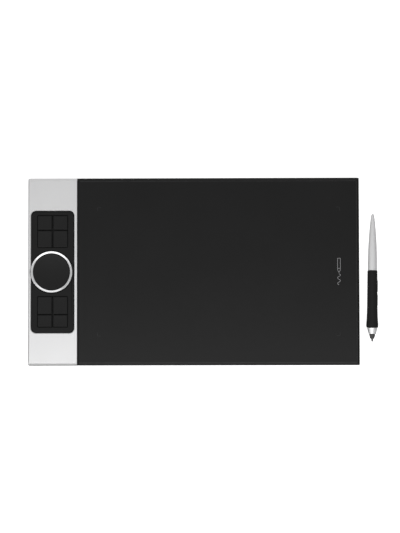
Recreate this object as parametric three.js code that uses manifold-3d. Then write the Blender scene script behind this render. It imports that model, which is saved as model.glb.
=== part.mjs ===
// A pen drawing tablet and the pen that lies beside it. Millimetres, +Z up, desk at z = 0.
// The tablet is an aluminium tray closed by an aluminium control deck on the left and a textured
// work surface on the right. The deck carries eight keys and a dial that turns round a touch disc.
// Origin: on the desk, under the middle of the tablet and pen taken together.
import * as THREE from 'three';
import { mergeVertices } from 'three/addons/utils/BufferGeometryUtils.js';
import Module from 'manifold-3d';

const wasm = await Module();
wasm.setup();

// ---------------------------------------------------------------- driving dimensions

const TABLET_WIDTH = 358;
const TABLET_DEPTH = 202.5;
const CORNER = 1.2;              // plan radius of the tablet's corners
const DECK_WIDTH = 53.3;         // aluminium strip on the left
const GROOVE = 0.8;              // dark groove between the deck and the work surface
const HALF_WIDTH = TABLET_WIDTH / 2;
const HALF_DEPTH = TABLET_DEPTH / 2;

// Heights above the desk.
const COVER_BOTTOM = 0.8;
const COVER_FLOOR = 1.8;
const COVER_SLOPE_TOP = 2.6;     // the tray's sloping lower edge ends here
const WALL_TOP = 5.9;
const FRAME_UNDER = 5.6;
const FRAME_RIM = 5.95;          // the frame's rim lies on the tray's wall and shows as a black seam
const FRAME_TOP = 6.45;
const PLATE_BOTTOM = 6.5;        // deck and work surface
const PLATE_EDGE = 7.0;          // their edge bevel starts here
const PLATE_TOP = 8.0;
const BOARD_BOTTOM = 2.8;
const BOARD_TOP = 3.6;
const LAID_ON = 0.05;            // gap between a piece and the one that it lies on
const PAST = 1;                  // how far a cutting tool reaches past what it cuts
const ROOT = 0.5;                // how deep a rib or standoff is rooted in the tray's floor

const WALL = 1.5;                // tray wall
const FLOOR_INSET = 3.0;         // how far the tray's sloping edge runs in
const BEVEL_SIDE = 2.2;          // width of the top bevel, left and right
const BEVEL_FRONT = 2.8;         // width of the top bevel, front and rear
const DECK_BEVEL_SIDE = 1.2;
const GROOVE_BEVEL = 0.4;        // the deck's bevel along the groove
const DECK_SETBACK = 0.8;        // the deck stops short of the front, so that the frame shows there
const OPENING_CHAMFER = 0.5;     // round the deck's opening

const PANEL_X = -152.4;          // centre of the black key panel
const PANEL_WIDTH = 46.9;
const PANEL_LENGTH = 132.2;
const PANEL_CORNER = 5.5;
const PANEL_TOP = 7.7;
const PANEL_BEVEL = { width: 1.8, drop: 0.9 };
const PANEL_FIT = 0.4;           // gap between the panel and the deck
const PANEL_FLANGE = 0.6;        // how far the panel's hidden flange reaches under the deck
const PANEL_BOTTOM = 6.0;
const FLANGE_TOP = 6.4;

const KEY_FIELD_WIDTH = 32.5;    // two keys and the gap between them
// Distances from the panel's middle to a key field's near edge, to the line between its inner and
// outer keys, and to its far edge.
const REAR_FIELD = { near: 26.4, split: 45.1, far: 61.0 };
const FRONT_FIELD = { near: 26.7, split: 46.1, far: 59.6 };
const KEY_GAP_X = 1.4;
const KEY_GAP_Y = 0.8;
const KEY_TOP = 8.0;
const KEY_SKIRT = 5.2;           // bottom of a key's cap
const KEY_EDGE = { width: 0.45, drop: 0.4 };
const KEY_STEM_RADIUS = 1.5;
const FIELD_FIT = 0.25;          // gap between the keys and the panel round them
const KEY_LIP = 0.9;             // lip that stops a key coming out of the panel
const KEY_LIP_FIT = 0.1;         // half the gap between the lips of neighbouring keys

const DIAL_X = -153.6;
const DIAL_RADIUS = 22.6;        // outside of the metal ring
const DIAL_BORE = 20.0;          // inside of the metal ring
const DISC_RADIUS = 19.5;
const DIAL_HOLE = DIAL_RADIUS + 0.3;            // in the deck
const PANEL_DIAL_HOLE = DIAL_RADIUS + 0.45;
const ROTOR_FLANGE = PANEL_DIAL_HOLE + 0.15;    // the panel holds the rotor down by this
const ROTOR_FLANGE_TOP = 5.8;
const ROTOR_RADIUS = 22.2;
const ROTOR_BORE = 19;           // inside of its teeth
const ROTOR_LEDGE_BORE = 20.2;   // the hub's lip stands over this ledge
const ROTOR_LEDGE_TOP = 6.5;
const ROTOR_NECK_BORE = 21.2;
const ROTOR_TOP = 7.3;
const HUB_POST = 6;              // radii of the fixed hub
const HUB_CUP = 20;
const HUB_CUP_BORE = 18.9;
const HUB_LIP = 20.95;
const HUB_BOTTOM = 5.2;
const HUB_FLOOR = 5.9;
const HUB_LIP_UNDER = 6.6;
const HUB_TOP = 7.2;
const TOUCH_BOARD_RADIUS = 18.6;
const TOUCH_BOARD_TOP = 6.8;
const DISC_RIM_UNDER = 7.25;
const GEAR_MODULE = 0.6;
const RING_TEETH = 66;
const PINION_TEETH = 12;
const PINION_DISTANCE = (GEAR_MODULE * (RING_TEETH - PINION_TEETH)) / 2;
const DIAL_SIDES = 36;

const USB_Y = 78;
const USB_Z = 4.0;
const USB_SHELL = { width: 8.94, height: 3.2, length: 7.3, wall: 0.3 };
const USB_SETBACK = 0.3;         // from the tablet's left side to the socket's mouth
const USB_MOUTH_FIT = 0.25;
const COVER_SCREW_X = [-171, 0, 171];
const COVER_SCREW_Y = 93;
const COVER_SCREW = { head: 2.6, shank: 1.15, tip: 1.05, bottom: 0.85, top: 5.0 };
const BOARD_SCREWS = [[-171.5, -63], [-133.5, -63], [-171.5, 63], [-133.5, 86]];
const BOARD_SCREW = { head: 1.7, crown: 1.3, shank: 0.7, bottom: 1.4, flat: 4.1, top: 4.4 };
const HUB_SCREW = { head: 1.8, face: 1.5, shank: 0.85, bottom: 1.95, top: 5.3 };
const FOOT = { length: 58, width: 9, x: 140, y: 86, edge: 0.4 };
const RIB = { thickness: 1.2, top: 3.9 };

const PEN_LENGTH = 137.9;
const PEN_X = 192.4;             // tip of the nib, from the middle of the tablet
const PEN_TIP_Y = -76.0;
const PEN_TURN = (-0.7 * Math.PI) / 180;    // the pen lies a little askew, its tail to the right
const GRIP_FRONT = 15.0;         // distances along the pen, from the tip of the nib
const GRIP_REAR = 76.7;
const FLARE = { at: 18.6, radius: 6.5 };
const GRIP_HEEL = { at: 76.1, radius: 5.35 };

// The pen lies on its flare and on the heel of its grip.
const PEN_TILT = Math.atan((FLARE.radius - GRIP_HEEL.radius) / (GRIP_HEEL.at - FLARE.at));
const PEN_AXIS_HEIGHT = FLARE.radius * Math.cos(PEN_TILT) + FLARE.at * Math.sin(PEN_TILT);
const TABLET_X = -10.35;         // the tablet's middle, from the origin

// ---------------------------------------------------------------- materials

function material(color, roughness, metalness) {
  return new THREE.MeshStandardMaterial({ color, roughness, metalness });
}

const MATERIALS = {
  aluminium: material(0xcfcfcf, 0.38, 1),
  ring: material(0xdadada, 0.25, 1),
  steel: material(0x9a9a9a, 0.4, 1),
  copper: material(0xb5703a, 0.4, 1),
  surface: material(0x28282a, 0.72, 0),
  black: material(0x242424, 0.6, 0),
  key: material(0x282828, 0.5, 0),
  touch: material(0x2b2b2b, 0.42, 0),
  rubber: material(0x1f1f1f, 0.88, 0),
  board: material(0x1d5a3a, 0.55, 0),
  amber: material(0xb8822e, 0.5, 0),
  acetal: material(0xd9d6cc, 0.55, 0),
  ferrite: material(0x3a3734, 0.8, 0),
  nib: material(0x3c3c3c, 0.6, 0),
};

// ---------------------------------------------------------------- solids

// A closed geometry as a manifold solid, with its faces pointing out.
function solid(geometry) {
  const bare = new THREE.BufferGeometry();
  const source = geometry.index ? geometry.toNonIndexed() : geometry;
  bare.setAttribute('position', source.getAttribute('position'));
  const merged = mergeVertices(bare, 1e-4);
  const corners = merged.index.array;
  const kept = [];
  for (let i = 0; i < corners.length; i += 3) {
    const [a, b, c] = [corners[i], corners[i + 1], corners[i + 2]];
    if (a !== b && b !== c && c !== a) kept.push(a, b, c);
  }
  const build = (triangles) => new wasm.Manifold(new wasm.Mesh({
    numProp: 3,
    vertProperties: merged.attributes.position.array,
    triVerts: new Uint32Array(triangles),
  }));
  const made = build(kept);
  return made.volume() < 0 ? build(kept.reverse()) : made;
}

function geometryOf(manifold) {
  const mesh = manifold.getMesh();
  const positions = new Float32Array(mesh.numVert * 3);
  for (let i = 0; i < mesh.numVert; i++) {
    positions.set(mesh.vertProperties.subarray(i * mesh.numProp, i * mesh.numProp + 3), i * 3);
  }
  return new THREE.BufferGeometry()
    .setAttribute('position', new THREE.BufferAttribute(positions, 3))
    .setIndex(new THREE.BufferAttribute(mesh.triVerts, 1));
}

function joined(...solids) {
  return solids.reduce((sum, next) => sum.add(next));
}

function cut(body, ...tools) {
  return tools.reduce((left, tool) => left.subtract(tool), body);
}

// A rectangle from (x0, y0) to (x1, y1) with rounded corners, anticlockwise.
function rectangle(x0, y0, x1, y1, radius, steps = 3) {
  const points = [];
  const corners = [[x1 - radius, y1 - radius], [x0 + radius, y1 - radius],
    [x0 + radius, y0 + radius], [x1 - radius, y0 + radius]];
  corners.forEach(([x, y], quarter) => {
    for (let i = 0; i <= steps; i++) {
      const angle = ((quarter + i / steps) * Math.PI) / 2;
      points.push(new THREE.Vector2(x + radius * Math.cos(angle), y + radius * Math.sin(angle)));
    }
  });
  return points;
}

function centred(width, depth, radius, steps) {
  return rectangle(-width / 2, -depth / 2, width / 2, depth / 2, radius, steps);
}

// The tablet's outline, drawn in by the same amount on every side.
function tabletOutline(inset) {
  return centred(TABLET_WIDTH - 2 * inset, TABLET_DEPTH - 2 * inset, CORNER);
}

function circle(radius, segments = 24) {
  return Array.from({ length: segments }, (_, i) => {
    const angle = (2 * Math.PI * i) / segments;
    return new THREE.Vector2(radius * Math.cos(angle), radius * Math.sin(angle));
  });
}

function prism(outline, bottom, top) {
  const shape = new THREE.Shape(outline);
  const geometry = new THREE.ExtrudeGeometry(shape, { depth: top - bottom, bevelEnabled: false });
  return solid(geometry.translate(0, 0, bottom));
}

function box(x0, y0, z0, x1, y1, z1) {
  const geometry = new THREE.BoxGeometry(x1 - x0, y1 - y0, z1 - z0);
  return solid(geometry.translate((x0 + x1) / 2, (y0 + y1) / 2, (z0 + z1) / 2));
}

// A solid whose outline changes with height. Levels are [z, outline], from the bottom up.
function loft(levels) {
  const count = levels[0][1].length;
  const positions = levels.flatMap(([z, outline]) => outline.flatMap((p) => [p.x, p.y, z]));
  const index = [];
  for (let level = 0; level + 1 < levels.length; level++) {
    for (let i = 0; i < count; i++) {
      const a = level * count + i;
      const b = level * count + ((i + 1) % count);
      index.push(a, b, b + count, a, b + count, a + count);
    }
  }
  const last = levels.length - 1;
  THREE.ShapeUtils.triangulateShape(levels[0][1], [])
    .forEach(([a, b, c]) => index.push(c, b, a));
  THREE.ShapeUtils.triangulateShape(levels[last][1], [])
    .forEach(([a, b, c]) => index.push(a + last * count, b + last * count, c + last * count));
  const geometry = new THREE.BufferGeometry()
    .setAttribute('position', new THREE.Float32BufferAttribute(positions, 3))
    .setIndex(index);
  return solid(geometry);
}

// A solid turned about Z. The profile is a list of [radius, z] that starts and ends on the axis,
// or closes on itself.
function turned(profile, segments = 24) {
  const points = profile.map(([radius, z]) => new THREE.Vector2(radius, z));
  return solid(new THREE.LatheGeometry(points, segments).rotateX(Math.PI / 2));
}

function cylinder(x, y, radius, bottom, top, segments = 12) {
  const geometry = new THREE.CylinderGeometry(radius, radius, top - bottom, segments);
  return solid(geometry.rotateX(Math.PI / 2).translate(x, y, (bottom + top) / 2));
}

// ---------------------------------------------------------------- assembly

const part = new THREE.Group();
const tablet = new THREE.Group();
tablet.position.set(TABLET_X, 0, 0);
part.add(tablet);

function add(parent, name, body, finish, x = 0, y = 0, z = 0) {
  const mesh = new THREE.Mesh(geometryOf(body), MATERIALS[finish]);
  mesh.name = name;
  mesh.position.set(x, y, z);
  parent.add(mesh);
  return mesh;
}

// ---------------------------------------------------------------- tray and feet

const SCREW_SEATS = COVER_SCREW_X.flatMap((x) => [[x, -COVER_SCREW_Y], [x, COVER_SCREW_Y]]);
const FOOT_SEATS = {
  foot_front_left: [-FOOT.x, -FOOT.y],
  foot_front_right: [FOOT.x, -FOOT.y],
  foot_rear_left: [-FOOT.x, FOOT.y],
  foot_rear_right: [FOOT.x, FOOT.y],
};
const FOOT_TOP = 1.2;
const FOOT_FIT = 0.15;           // gap round a foot in its recess
const ALMOST = 0.01;             // keeps a round end just short of a full half circle

// A bar along X with round ends, as the socket and its mouth in the tray's wall have.
function socketShape(width, height, x0, x1) {
  const outline = centred(width, height, height / 2 - ALMOST, 4);
  const geometry = new THREE.ExtrudeGeometry(new THREE.Shape(outline),
    { depth: x1 - x0, bevelEnabled: false });
  geometry.rotateX(Math.PI / 2).rotateZ(Math.PI / 2);
  return solid(geometry.translate(x0, 0, 0));
}

function placed(body, x, y, z) {
  return solid(geometryOf(body).translate(x, y, z));
}

function backCover() {
  const shell = loft([
    [COVER_BOTTOM, tabletOutline(FLOOR_INSET)],
    [COVER_SLOPE_TOP, tabletOutline(0)],
    [WALL_TOP, tabletOutline(0)],
  ]);
  const inner = tabletOutline(WALL);
  const hollow = loft([
    [COVER_FLOOR, tabletOutline(FLOOR_INSET + 1.3)],
    [COVER_SLOPE_TOP + 0.6, inner],
    [WALL_TOP + PAST, inner],
  ]);
  const rib = (x0, y0, x1, y1) => box(x0, y0, COVER_FLOOR - ROOT, x1, y1, RIB.top);
  const ribs = [
    ...[-45.2, 44].map((y) => rib(-100, y, 160, y + RIB.thickness)),
    ...[-60, 100].map((x) => rib(x, -80, x + RIB.thickness, 80)),
  ];
  const standoffs = BOARD_SCREWS.map(([x, y]) => (
    cylinder(x, y, 2.2, COVER_FLOOR - ROOT, BOARD_BOTTOM - LAID_ON)));
  const pilots = BOARD_SCREWS.map(([x, y]) => (
    cylinder(x, y, BOARD_SCREW.shank + 0.15, BOARD_SCREW.bottom - 0.1, BOARD_BOTTOM)));
  const seat = COVER_SCREW.head + 0.3;
  const hole = COVER_SCREW.shank + 0.25;
  const countersink = turned([[0, COVER_BOTTOM - PAST], [seat, COVER_BOTTOM - PAST],
    [seat, COVER_BOTTOM + 0.1], [hole, COVER_FLOOR - 0.1], [hole, COVER_FLOOR + PAST],
    [0, COVER_FLOOR + PAST]], 12);
  const countersinks = SCREW_SEATS.map(([x, y]) => placed(countersink, x, y, 0));
  const recess = prism(centred(FOOT.length + 2 * FOOT_FIT, FOOT.width + 2 * FOOT_FIT,
    FOOT.width / 2, 4), -PAST, FOOT_TOP + LAID_ON);
  const recesses = Object.values(FOOT_SEATS).map(([x, y]) => placed(recess, x, y, 0));
  const mouth = placed(socketShape(USB_SHELL.width + 2 * USB_MOUTH_FIT,
    USB_SHELL.height + 2 * USB_MOUTH_FIT, -HALF_WIDTH - PAST, -HALF_WIDTH + 4), 0, USB_Y, USB_Z);
  const body = joined(cut(shell, hollow), ...ribs, ...standoffs);
  return cut(body, ...pilots, ...countersinks, ...recesses, mouth);
}

function foot() {
  const outline = (inset) => centred(FOOT.length - 2 * inset, FOOT.width - 2 * inset,
    FOOT.width / 2 - inset - ALMOST, 4);
  return loft([[0, outline(FOOT.edge)], [FOOT.edge, outline(0)], [FOOT_TOP, outline(0)]]);
}

// Countersunk, head down.
function coverScrew() {
  const { head, shank, tip, bottom, top } = COVER_SCREW;
  return turned([[0, bottom], [head, bottom], [head, bottom + 0.1], [shank, COVER_FLOOR],
    [tip, top], [0, top]], 12);
}

// Head up, standing in the tray's standoff.
function boardScrew() {
  const { head, crown, shank, bottom, flat, top } = BOARD_SCREW;
  return turned([[0, bottom], [shank, bottom], [shank, BOARD_TOP + LAID_ON],
    [head, BOARD_TOP + LAID_ON], [head, flat], [crown, top], [0, top]], 12);
}

add(tablet, 'back_cover', backCover(), 'aluminium');
for (const [name, [x, y]] of Object.entries(FOOT_SEATS)) {
  add(tablet, name, foot(), 'rubber', x, y);
}
SCREW_SEATS.forEach(([x, y], i) => add(tablet, `cover_screw_${i + 1}`, coverScrew(), 'steel', x, y));
BOARD_SCREWS.forEach(([x, y], i) => add(tablet, `board_screw_${i + 1}`, boardScrew(), 'steel', x, y));

// ---------------------------------------------------------------- deck, surface and frame

// The opening that the key panel fills, with a bulge on the left where the dial passes it.
function panelOpening(bottom, top) {
  const frameHole = prism(centred(PANEL_WIDTH, PANEL_LENGTH, PANEL_CORNER, 6), bottom, top);
  return joined(placed(frameHole, PANEL_X, 0, 0), cylinder(DIAL_X, 0, DIAL_HOLE, bottom, top, 48));
}

function controlDeck() {
  const left = -HALF_WIDTH;
  const right = left + DECK_WIDTH;
  const front = -HALF_DEPTH + DECK_SETBACK;
  const full = rectangle(left, front, right, HALF_DEPTH, CORNER);
  const top = rectangle(left + DECK_BEVEL_SIDE, front + BEVEL_FRONT - DECK_SETBACK,
    right - GROOVE_BEVEL, HALF_DEPTH - BEVEL_FRONT, CORNER);
  const plate = loft([[PLATE_BOTTOM, full], [PLATE_EDGE, full], [PLATE_TOP, top]]);
  const edge = OPENING_CHAMFER;
  const chamfer = joined(
    placed(loft([
      [PLATE_TOP - edge, centred(PANEL_WIDTH, PANEL_LENGTH, PANEL_CORNER, 6)],
      [PLATE_TOP + edge, centred(PANEL_WIDTH + 4 * edge, PANEL_LENGTH + 4 * edge,
        PANEL_CORNER + 2 * edge, 6)],
    ]), PANEL_X, 0, 0),
    placed(turned([[0, PLATE_TOP - edge], [DIAL_HOLE, PLATE_TOP - edge],
      [DIAL_HOLE + 2 * edge, PLATE_TOP + edge], [0, PLATE_TOP + edge]], 48), DIAL_X, 0, 0));
  return cut(plate, panelOpening(PLATE_BOTTOM - PAST, PLATE_TOP + PAST), chamfer);
}

function workSurface() {
  const left = -HALF_WIDTH + DECK_WIDTH + GROOVE;
  const full = rectangle(left, -HALF_DEPTH, HALF_WIDTH, HALF_DEPTH, CORNER);
  const top = rectangle(left + DECK_BEVEL_SIDE, -HALF_DEPTH + BEVEL_FRONT,
    HALF_WIDTH - BEVEL_SIDE, HALF_DEPTH - BEVEL_FRONT, CORNER);
  return loft([[PLATE_BOTTOM, full], [PLATE_EDGE, full], [PLATE_TOP, top]]);
}

function frontFrame() {
  const inside = WALL + 0.25;    // clear of the tray's wall
  const skirtBottom = 4.2;
  const rooted = FRAME_UNDER + 0.2;
  const slab = prism(tabletOutline(inside), FRAME_UNDER, FRAME_TOP);
  const rim = prism(tabletOutline(0), FRAME_RIM, FRAME_TOP);
  const skirt = cut(prism(tabletOutline(inside), skirtBottom, rooted),
    prism(tabletOutline(inside + 1.35), skirtBottom - PAST, FRAME_UNDER));
  const bosses = SCREW_SEATS.map(([x, y]) => (
    cylinder(x, y, 2.4, COVER_FLOOR + LAID_ON, rooted, 16)));
  const pilots = SCREW_SEATS.map(([x, y]) => (
    cylinder(x, y, COVER_SCREW.shank + LAID_ON, COVER_FLOOR, COVER_SCREW.top + 0.2)));
  const panelHole = (grow, bottom) => placed(prism(centred(PANEL_WIDTH + 2 * grow,
    PANEL_LENGTH + 2 * grow, PANEL_CORNER + grow, 6), bottom, FRAME_TOP + PAST), PANEL_X, 0, 0);
  const opening = panelHole(-0.8, COVER_BOTTOM);
  const ledge = panelHole(1.0, PANEL_BOTTOM - LAID_ON);
  const dialWell = cylinder(DIAL_X, 0, ROTOR_FLANGE + 0.2, COVER_BOTTOM, FRAME_TOP + PAST, 48);
  const bayHalf = USB_SHELL.width / 2 + 0.73;
  const socketBay = box(-HALF_WIDTH, USB_Y - bayHalf, COVER_BOTTOM, -HALF_WIDTH + 8.5,
    USB_Y + bayHalf, FRAME_RIM);
  return cut(joined(slab, rim, skirt, ...bosses), ...pilots, opening, ledge, dialWell, socketBay);
}

add(tablet, 'control_deck', controlDeck(), 'aluminium');
add(tablet, 'work_surface', workSurface(), 'surface');
add(tablet, 'front_frame', frontFrame(), 'black');

// ---------------------------------------------------------------- sensor and electronics

const SENSOR = { left: -112, right: 166, half: 88, bottom: 4.5, top: 5.5 };
const SHIELD = { bottom: 4.05, top: 4.4 };

function mainBoard() {
  const outline = rectangle(-174.5, -67, -130.5, 89.5, 1);
  const hole = (x, y, radius) => cylinder(x, y, radius, BOARD_BOTTOM - PAST, BOARD_TOP + PAST);
  const holes = BOARD_SCREWS.map(([x, y]) => hole(x, y, BOARD_SCREW.shank + 0.3));
  const notchHalf = USB_SHELL.width / 2 + 0.33;
  const notch = box(-HALF_WIDTH, USB_Y - notchHalf, BOARD_BOTTOM - PAST,
    -HALF_WIDTH + USB_SHELL.length + 0.5, USB_Y + notchHalf, BOARD_TOP + PAST);
  return cut(prism(outline, BOARD_BOTTOM, BOARD_TOP), ...holes, notch,
    hole(DIAL_X, 0, HUB_SCREW.shank + 0.25));
}

function usbShell() {
  const { width, height, length, wall } = USB_SHELL;
  return cut(socketShape(width, height, 0, length),
    socketShape(width - 2 * wall, height - 2 * wall, -PAST, length - 2 * wall));
}

// It stands out of the shell's closed end.
function usbTongue() {
  const halfWidth = 3.34;
  const halfHeight = 0.35;
  const end = USB_SHELL.length - 2 * USB_SHELL.wall - LAID_ON;
  return box(0.7, -halfWidth, -halfHeight, end, halfWidth, halfHeight);
}

// The flat cable climbs from the main board to the underside of the sensor board.
function ribbonCable() {
  const thickness = 0.2;
  const width = 12;
  const low = BOARD_TOP + LAID_ON;
  const high = SENSOR.bottom - LAID_ON - thickness;
  const route = [[-134, low], [-128.5, low], [-125, low + 0.13], [-121, high - 0.13],
    [-117.5, high], [-106, high]];
  const upper = route.map(([x, z]) => new THREE.Vector2(x, z + thickness)).reverse();
  const lower = route.map(([x, z]) => new THREE.Vector2(x, z));
  const geometry = new THREE.ExtrudeGeometry(new THREE.Shape([...lower, ...upper]),
    { depth: width, bevelEnabled: false });
  return solid(geometry.rotateX(Math.PI / 2).translate(0, width / 2, 0));
}

const sensorBoard = prism(rectangle(SENSOR.left, -SENSOR.half, SENSOR.right, SENSOR.half, 2),
  SENSOR.bottom, SENSOR.top);
const shieldPlate = prism(rectangle(SENSOR.left + 8, -SENSOR.half + 1, SENSOR.right - 2,
  SENSOR.half - 1, 2), SHIELD.bottom, SHIELD.top);
const ribbonConnector = box(-137.6, 69, BOARD_TOP + LAID_ON, -134.1, 83, 4.8);
const processorShield = prism(rectangle(-162, 69, -142, 85, 1), BOARD_TOP + LAID_ON, 5.2);
const usbX = -HALF_WIDTH + USB_SETBACK;

add(tablet, 'sensor_board', sensorBoard, 'board');
add(tablet, 'shield_plate', shieldPlate, 'steel');
add(tablet, 'main_board', mainBoard(), 'board');
add(tablet, 'usb_shell', usbShell(), 'steel', usbX, USB_Y, USB_Z);
add(tablet, 'usb_tongue', usbTongue(), 'black', usbX, USB_Y, USB_Z);
add(tablet, 'ribbon_cable', ribbonCable(), 'amber', 0, 76, 0);
add(tablet, 'ribbon_connector', ribbonConnector, 'acetal');
add(tablet, 'processor_shield', processorShield, 'steel');

// ---------------------------------------------------------------- keys

const DOME = { radius: 3.2, height: 0.5, sheet: 0.15 };
const STEM_BOTTOM = BOARD_TOP + DOME.sheet + DOME.height + 2 * LAID_ON;
const KEY_WIDTH = (KEY_FIELD_WIDTH - KEY_GAP_X) / 2;
const KEY_X = (KEY_WIDTH + KEY_GAP_X) / 2;

// The two rows of a key field, measured from the panel's middle. Outer keys are the shorter ones.
function rowsOf({ near, split, far }) {
  return {
    outer: { near: split + KEY_GAP_Y / 2, far },
    inner: { near, far: split - KEY_GAP_Y / 2 },
  };
}
const REAR_ROWS = rowsOf(REAR_FIELD);
const FRONT_ROWS = rowsOf(FRONT_FIELD);
const rowCentre = (row) => (row.near + row.far) / 2;
const rowDepth = (row) => row.far - row.near;

// A key, centred on the middle of its cap. On its outer sides a lip reaches under the panel, and
// on its inner sides a shorter one closes the gap to the next key.
function key(row, outerX, outerY) {
  const depth = rowDepth(row);
  const cap = (inset) => centred(KEY_WIDTH - 2 * inset, depth - 2 * inset, 1);
  const body = loft([[KEY_SKIRT, cap(0)], [KEY_TOP - KEY_EDGE.drop, cap(0)],
    [KEY_TOP, cap(KEY_EDGE.width)]]);
  const lip = (side, outer, gap) => (side === outer ? KEY_LIP : gap / 2 - KEY_LIP_FIT);
  const lips = box(
    -KEY_WIDTH / 2 - lip(-1, outerX, KEY_GAP_X), -depth / 2 - lip(-1, outerY, KEY_GAP_Y), KEY_SKIRT,
    KEY_WIDTH / 2 + lip(1, outerX, KEY_GAP_X), depth / 2 + lip(1, outerY, KEY_GAP_Y),
    PANEL_BOTTOM - 2 * LAID_ON,
  );
  return joined(body, lips, cylinder(0, 0, KEY_STEM_RADIUS, STEM_BOTTOM, KEY_SKIRT + 0.1));
}

// A thin sheet with a snap dome under each key of one field, from the field's split outwards.
function domeSheet(rows, split) {
  const { radius, height, sheet } = DOME;
  const bottom = BOARD_TOP + LAID_ON;
  const far = rowCentre(rows.outer) - split;
  const near = rowCentre(rows.inner) - split;
  const halfWidth = KEY_FIELD_WIDTH / 2 + 0.5;
  const plate = prism(rectangle(-halfWidth, near - 7, halfWidth, far + 6, 1), bottom, bottom + sheet);
  const profile = [[0, 0], [radius, 0], [radius, sheet], [radius * 0.75, sheet + height * 0.5],
    [radius * 0.4, sheet + height * 0.9], [0, sheet + height]];
  const domes = [near, far].flatMap((y) => [-KEY_X, KEY_X]
    .map((x) => placed(turned(profile, 12), x, y, bottom)));
  return joined(plate, ...domes);
}

function keyPanel() {
  const plan = (inset) => centred(PANEL_WIDTH - 2 * inset, PANEL_LENGTH - 2 * inset,
    PANEL_CORNER - inset, 6);
  const plate = loft([[PANEL_BOTTOM, plan(PANEL_FIT)], [PANEL_TOP - PANEL_BEVEL.drop, plan(PANEL_FIT)],
    [PANEL_TOP, plan(PANEL_FIT + PANEL_BEVEL.width)]]);
  const flange = prism(plan(-PANEL_FLANGE), PANEL_BOTTOM, FLANGE_TOP);
  const [bottom, top] = [PANEL_BOTTOM - PAST, PANEL_TOP + PAST];
  const halfWidth = KEY_FIELD_WIDTH / 2 + FIELD_FIT;
  const field = (y0, y1) => prism(rectangle(-halfWidth, y0 - FIELD_FIT, halfWidth, y1 + FIELD_FIT,
    1.2), bottom, top);
  const body = cut(joined(plate, flange), field(REAR_FIELD.near, REAR_FIELD.far),
    field(-FRONT_FIELD.far, -FRONT_FIELD.near));
  return cut(placed(body, PANEL_X, 0, 0), cylinder(DIAL_X, 0, PANEL_DIAL_HOLE, bottom, top, 48));
}

add(tablet, 'key_panel', keyPanel(), 'black');
const KEY_ROWS = [[REAR_ROWS.outer, 1, 1], [REAR_ROWS.inner, 1, -1],
  [FRONT_ROWS.inner, -1, 1], [FRONT_ROWS.outer, -1, -1]];
KEY_ROWS.forEach(([row, end, outerY], index) => {
  [-1, 1].forEach((side) => {
    const number = index * 2 + (side < 0 ? 1 : 2);
    add(tablet, `key_${number}`, key(row, side, outerY), 'key',
      PANEL_X + side * KEY_X, end * rowCentre(row));
  });
});
add(tablet, 'dome_sheet_rear', domeSheet(REAR_ROWS, REAR_FIELD.split), 'steel', PANEL_X,
  REAR_FIELD.split);
const frontDomes = add(tablet, 'dome_sheet_front', domeSheet(FRONT_ROWS, FRONT_FIELD.split),
  'steel', PANEL_X, -FRONT_FIELD.split);
frontDomes.rotation.z = Math.PI;

// ---------------------------------------------------------------- dial

const GEAR_BOTTOM = 4.3;
const GEAR_TOP = 5.1;
const GEAR_PLAY = 0.1;
const DEDENDUM = 1.25 * GEAR_MODULE;
const SHAFT_RADIUS = 0.85;
const PRESSURE_ANGLE = (20 * Math.PI) / 180;
const involute = (angle) => Math.tan(angle) - angle;

// Outline of an involute gear with a tooth centred on +X. A positive play thins its teeth.
function gearOutline(teeth, radii, play) {
  const pitch = (GEAR_MODULE * teeth) / 2;
  const base = pitch * Math.cos(PRESSURE_ANGLE);
  const atPitch = Math.PI / (2 * teeth) - play / (2 * pitch);
  const halfAngle = (radius) => atPitch + involute(PRESSURE_ANGLE)
    - involute(Math.acos(Math.min(1, base / radius)));
  const points = [];
  for (let tooth = 0; tooth < teeth; tooth++) {
    const middle = (2 * Math.PI * tooth) / teeth;
    const flank = radii.map((radius) => [radius, halfAngle(radius)]);
    const both = [...flank.map(([r, a]) => [r, middle - a]),
      ...flank.reverse().map(([r, a]) => [r, middle + a])];
    both.forEach(([r, a]) => points.push(new THREE.Vector2(r * Math.cos(a), r * Math.sin(a))));
  }
  return points;
}

// The turning part of the dial: inner teeth below, a flange that the panel holds down, and a neck
// that carries the metal ring.
function dialRotor() {
  const body = turned([[ROTOR_BORE, GEAR_BOTTOM], [ROTOR_RADIUS, GEAR_BOTTOM],
    [ROTOR_RADIUS, GEAR_TOP], [ROTOR_FLANGE, GEAR_TOP], [ROTOR_FLANGE, ROTOR_FLANGE_TOP],
    [ROTOR_RADIUS, ROTOR_FLANGE_TOP], [ROTOR_RADIUS, ROTOR_TOP], [ROTOR_NECK_BORE, ROTOR_TOP],
    [ROTOR_NECK_BORE, ROTOR_LEDGE_TOP], [ROTOR_LEDGE_BORE, ROTOR_LEDGE_TOP],
    [ROTOR_LEDGE_BORE, GEAR_TOP], [ROTOR_BORE, GEAR_TOP], [ROTOR_BORE, GEAR_BOTTOM]],
  RING_TEETH / 2);
  const pitch = (GEAR_MODULE * RING_TEETH) / 2;
  const spaces = gearOutline(RING_TEETH, [pitch - 0.8 * GEAR_MODULE, pitch + DEDENDUM],
    -GEAR_PLAY);
  return cut(body, prism(spaces, GEAR_BOTTOM - PAST, GEAR_TOP + 0.2));
}

function dialRing() {
  const bottom = ROTOR_TOP + LAID_ON;
  return turned([[DIAL_BORE, bottom], [DIAL_RADIUS, bottom], [DIAL_RADIUS, 8.5], [22.3, 8.8],
    [21.9, 8.9], [20.4, 8.45], [DIAL_BORE, 8.1], [DIAL_BORE, bottom]], DIAL_SIDES);
}

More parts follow.
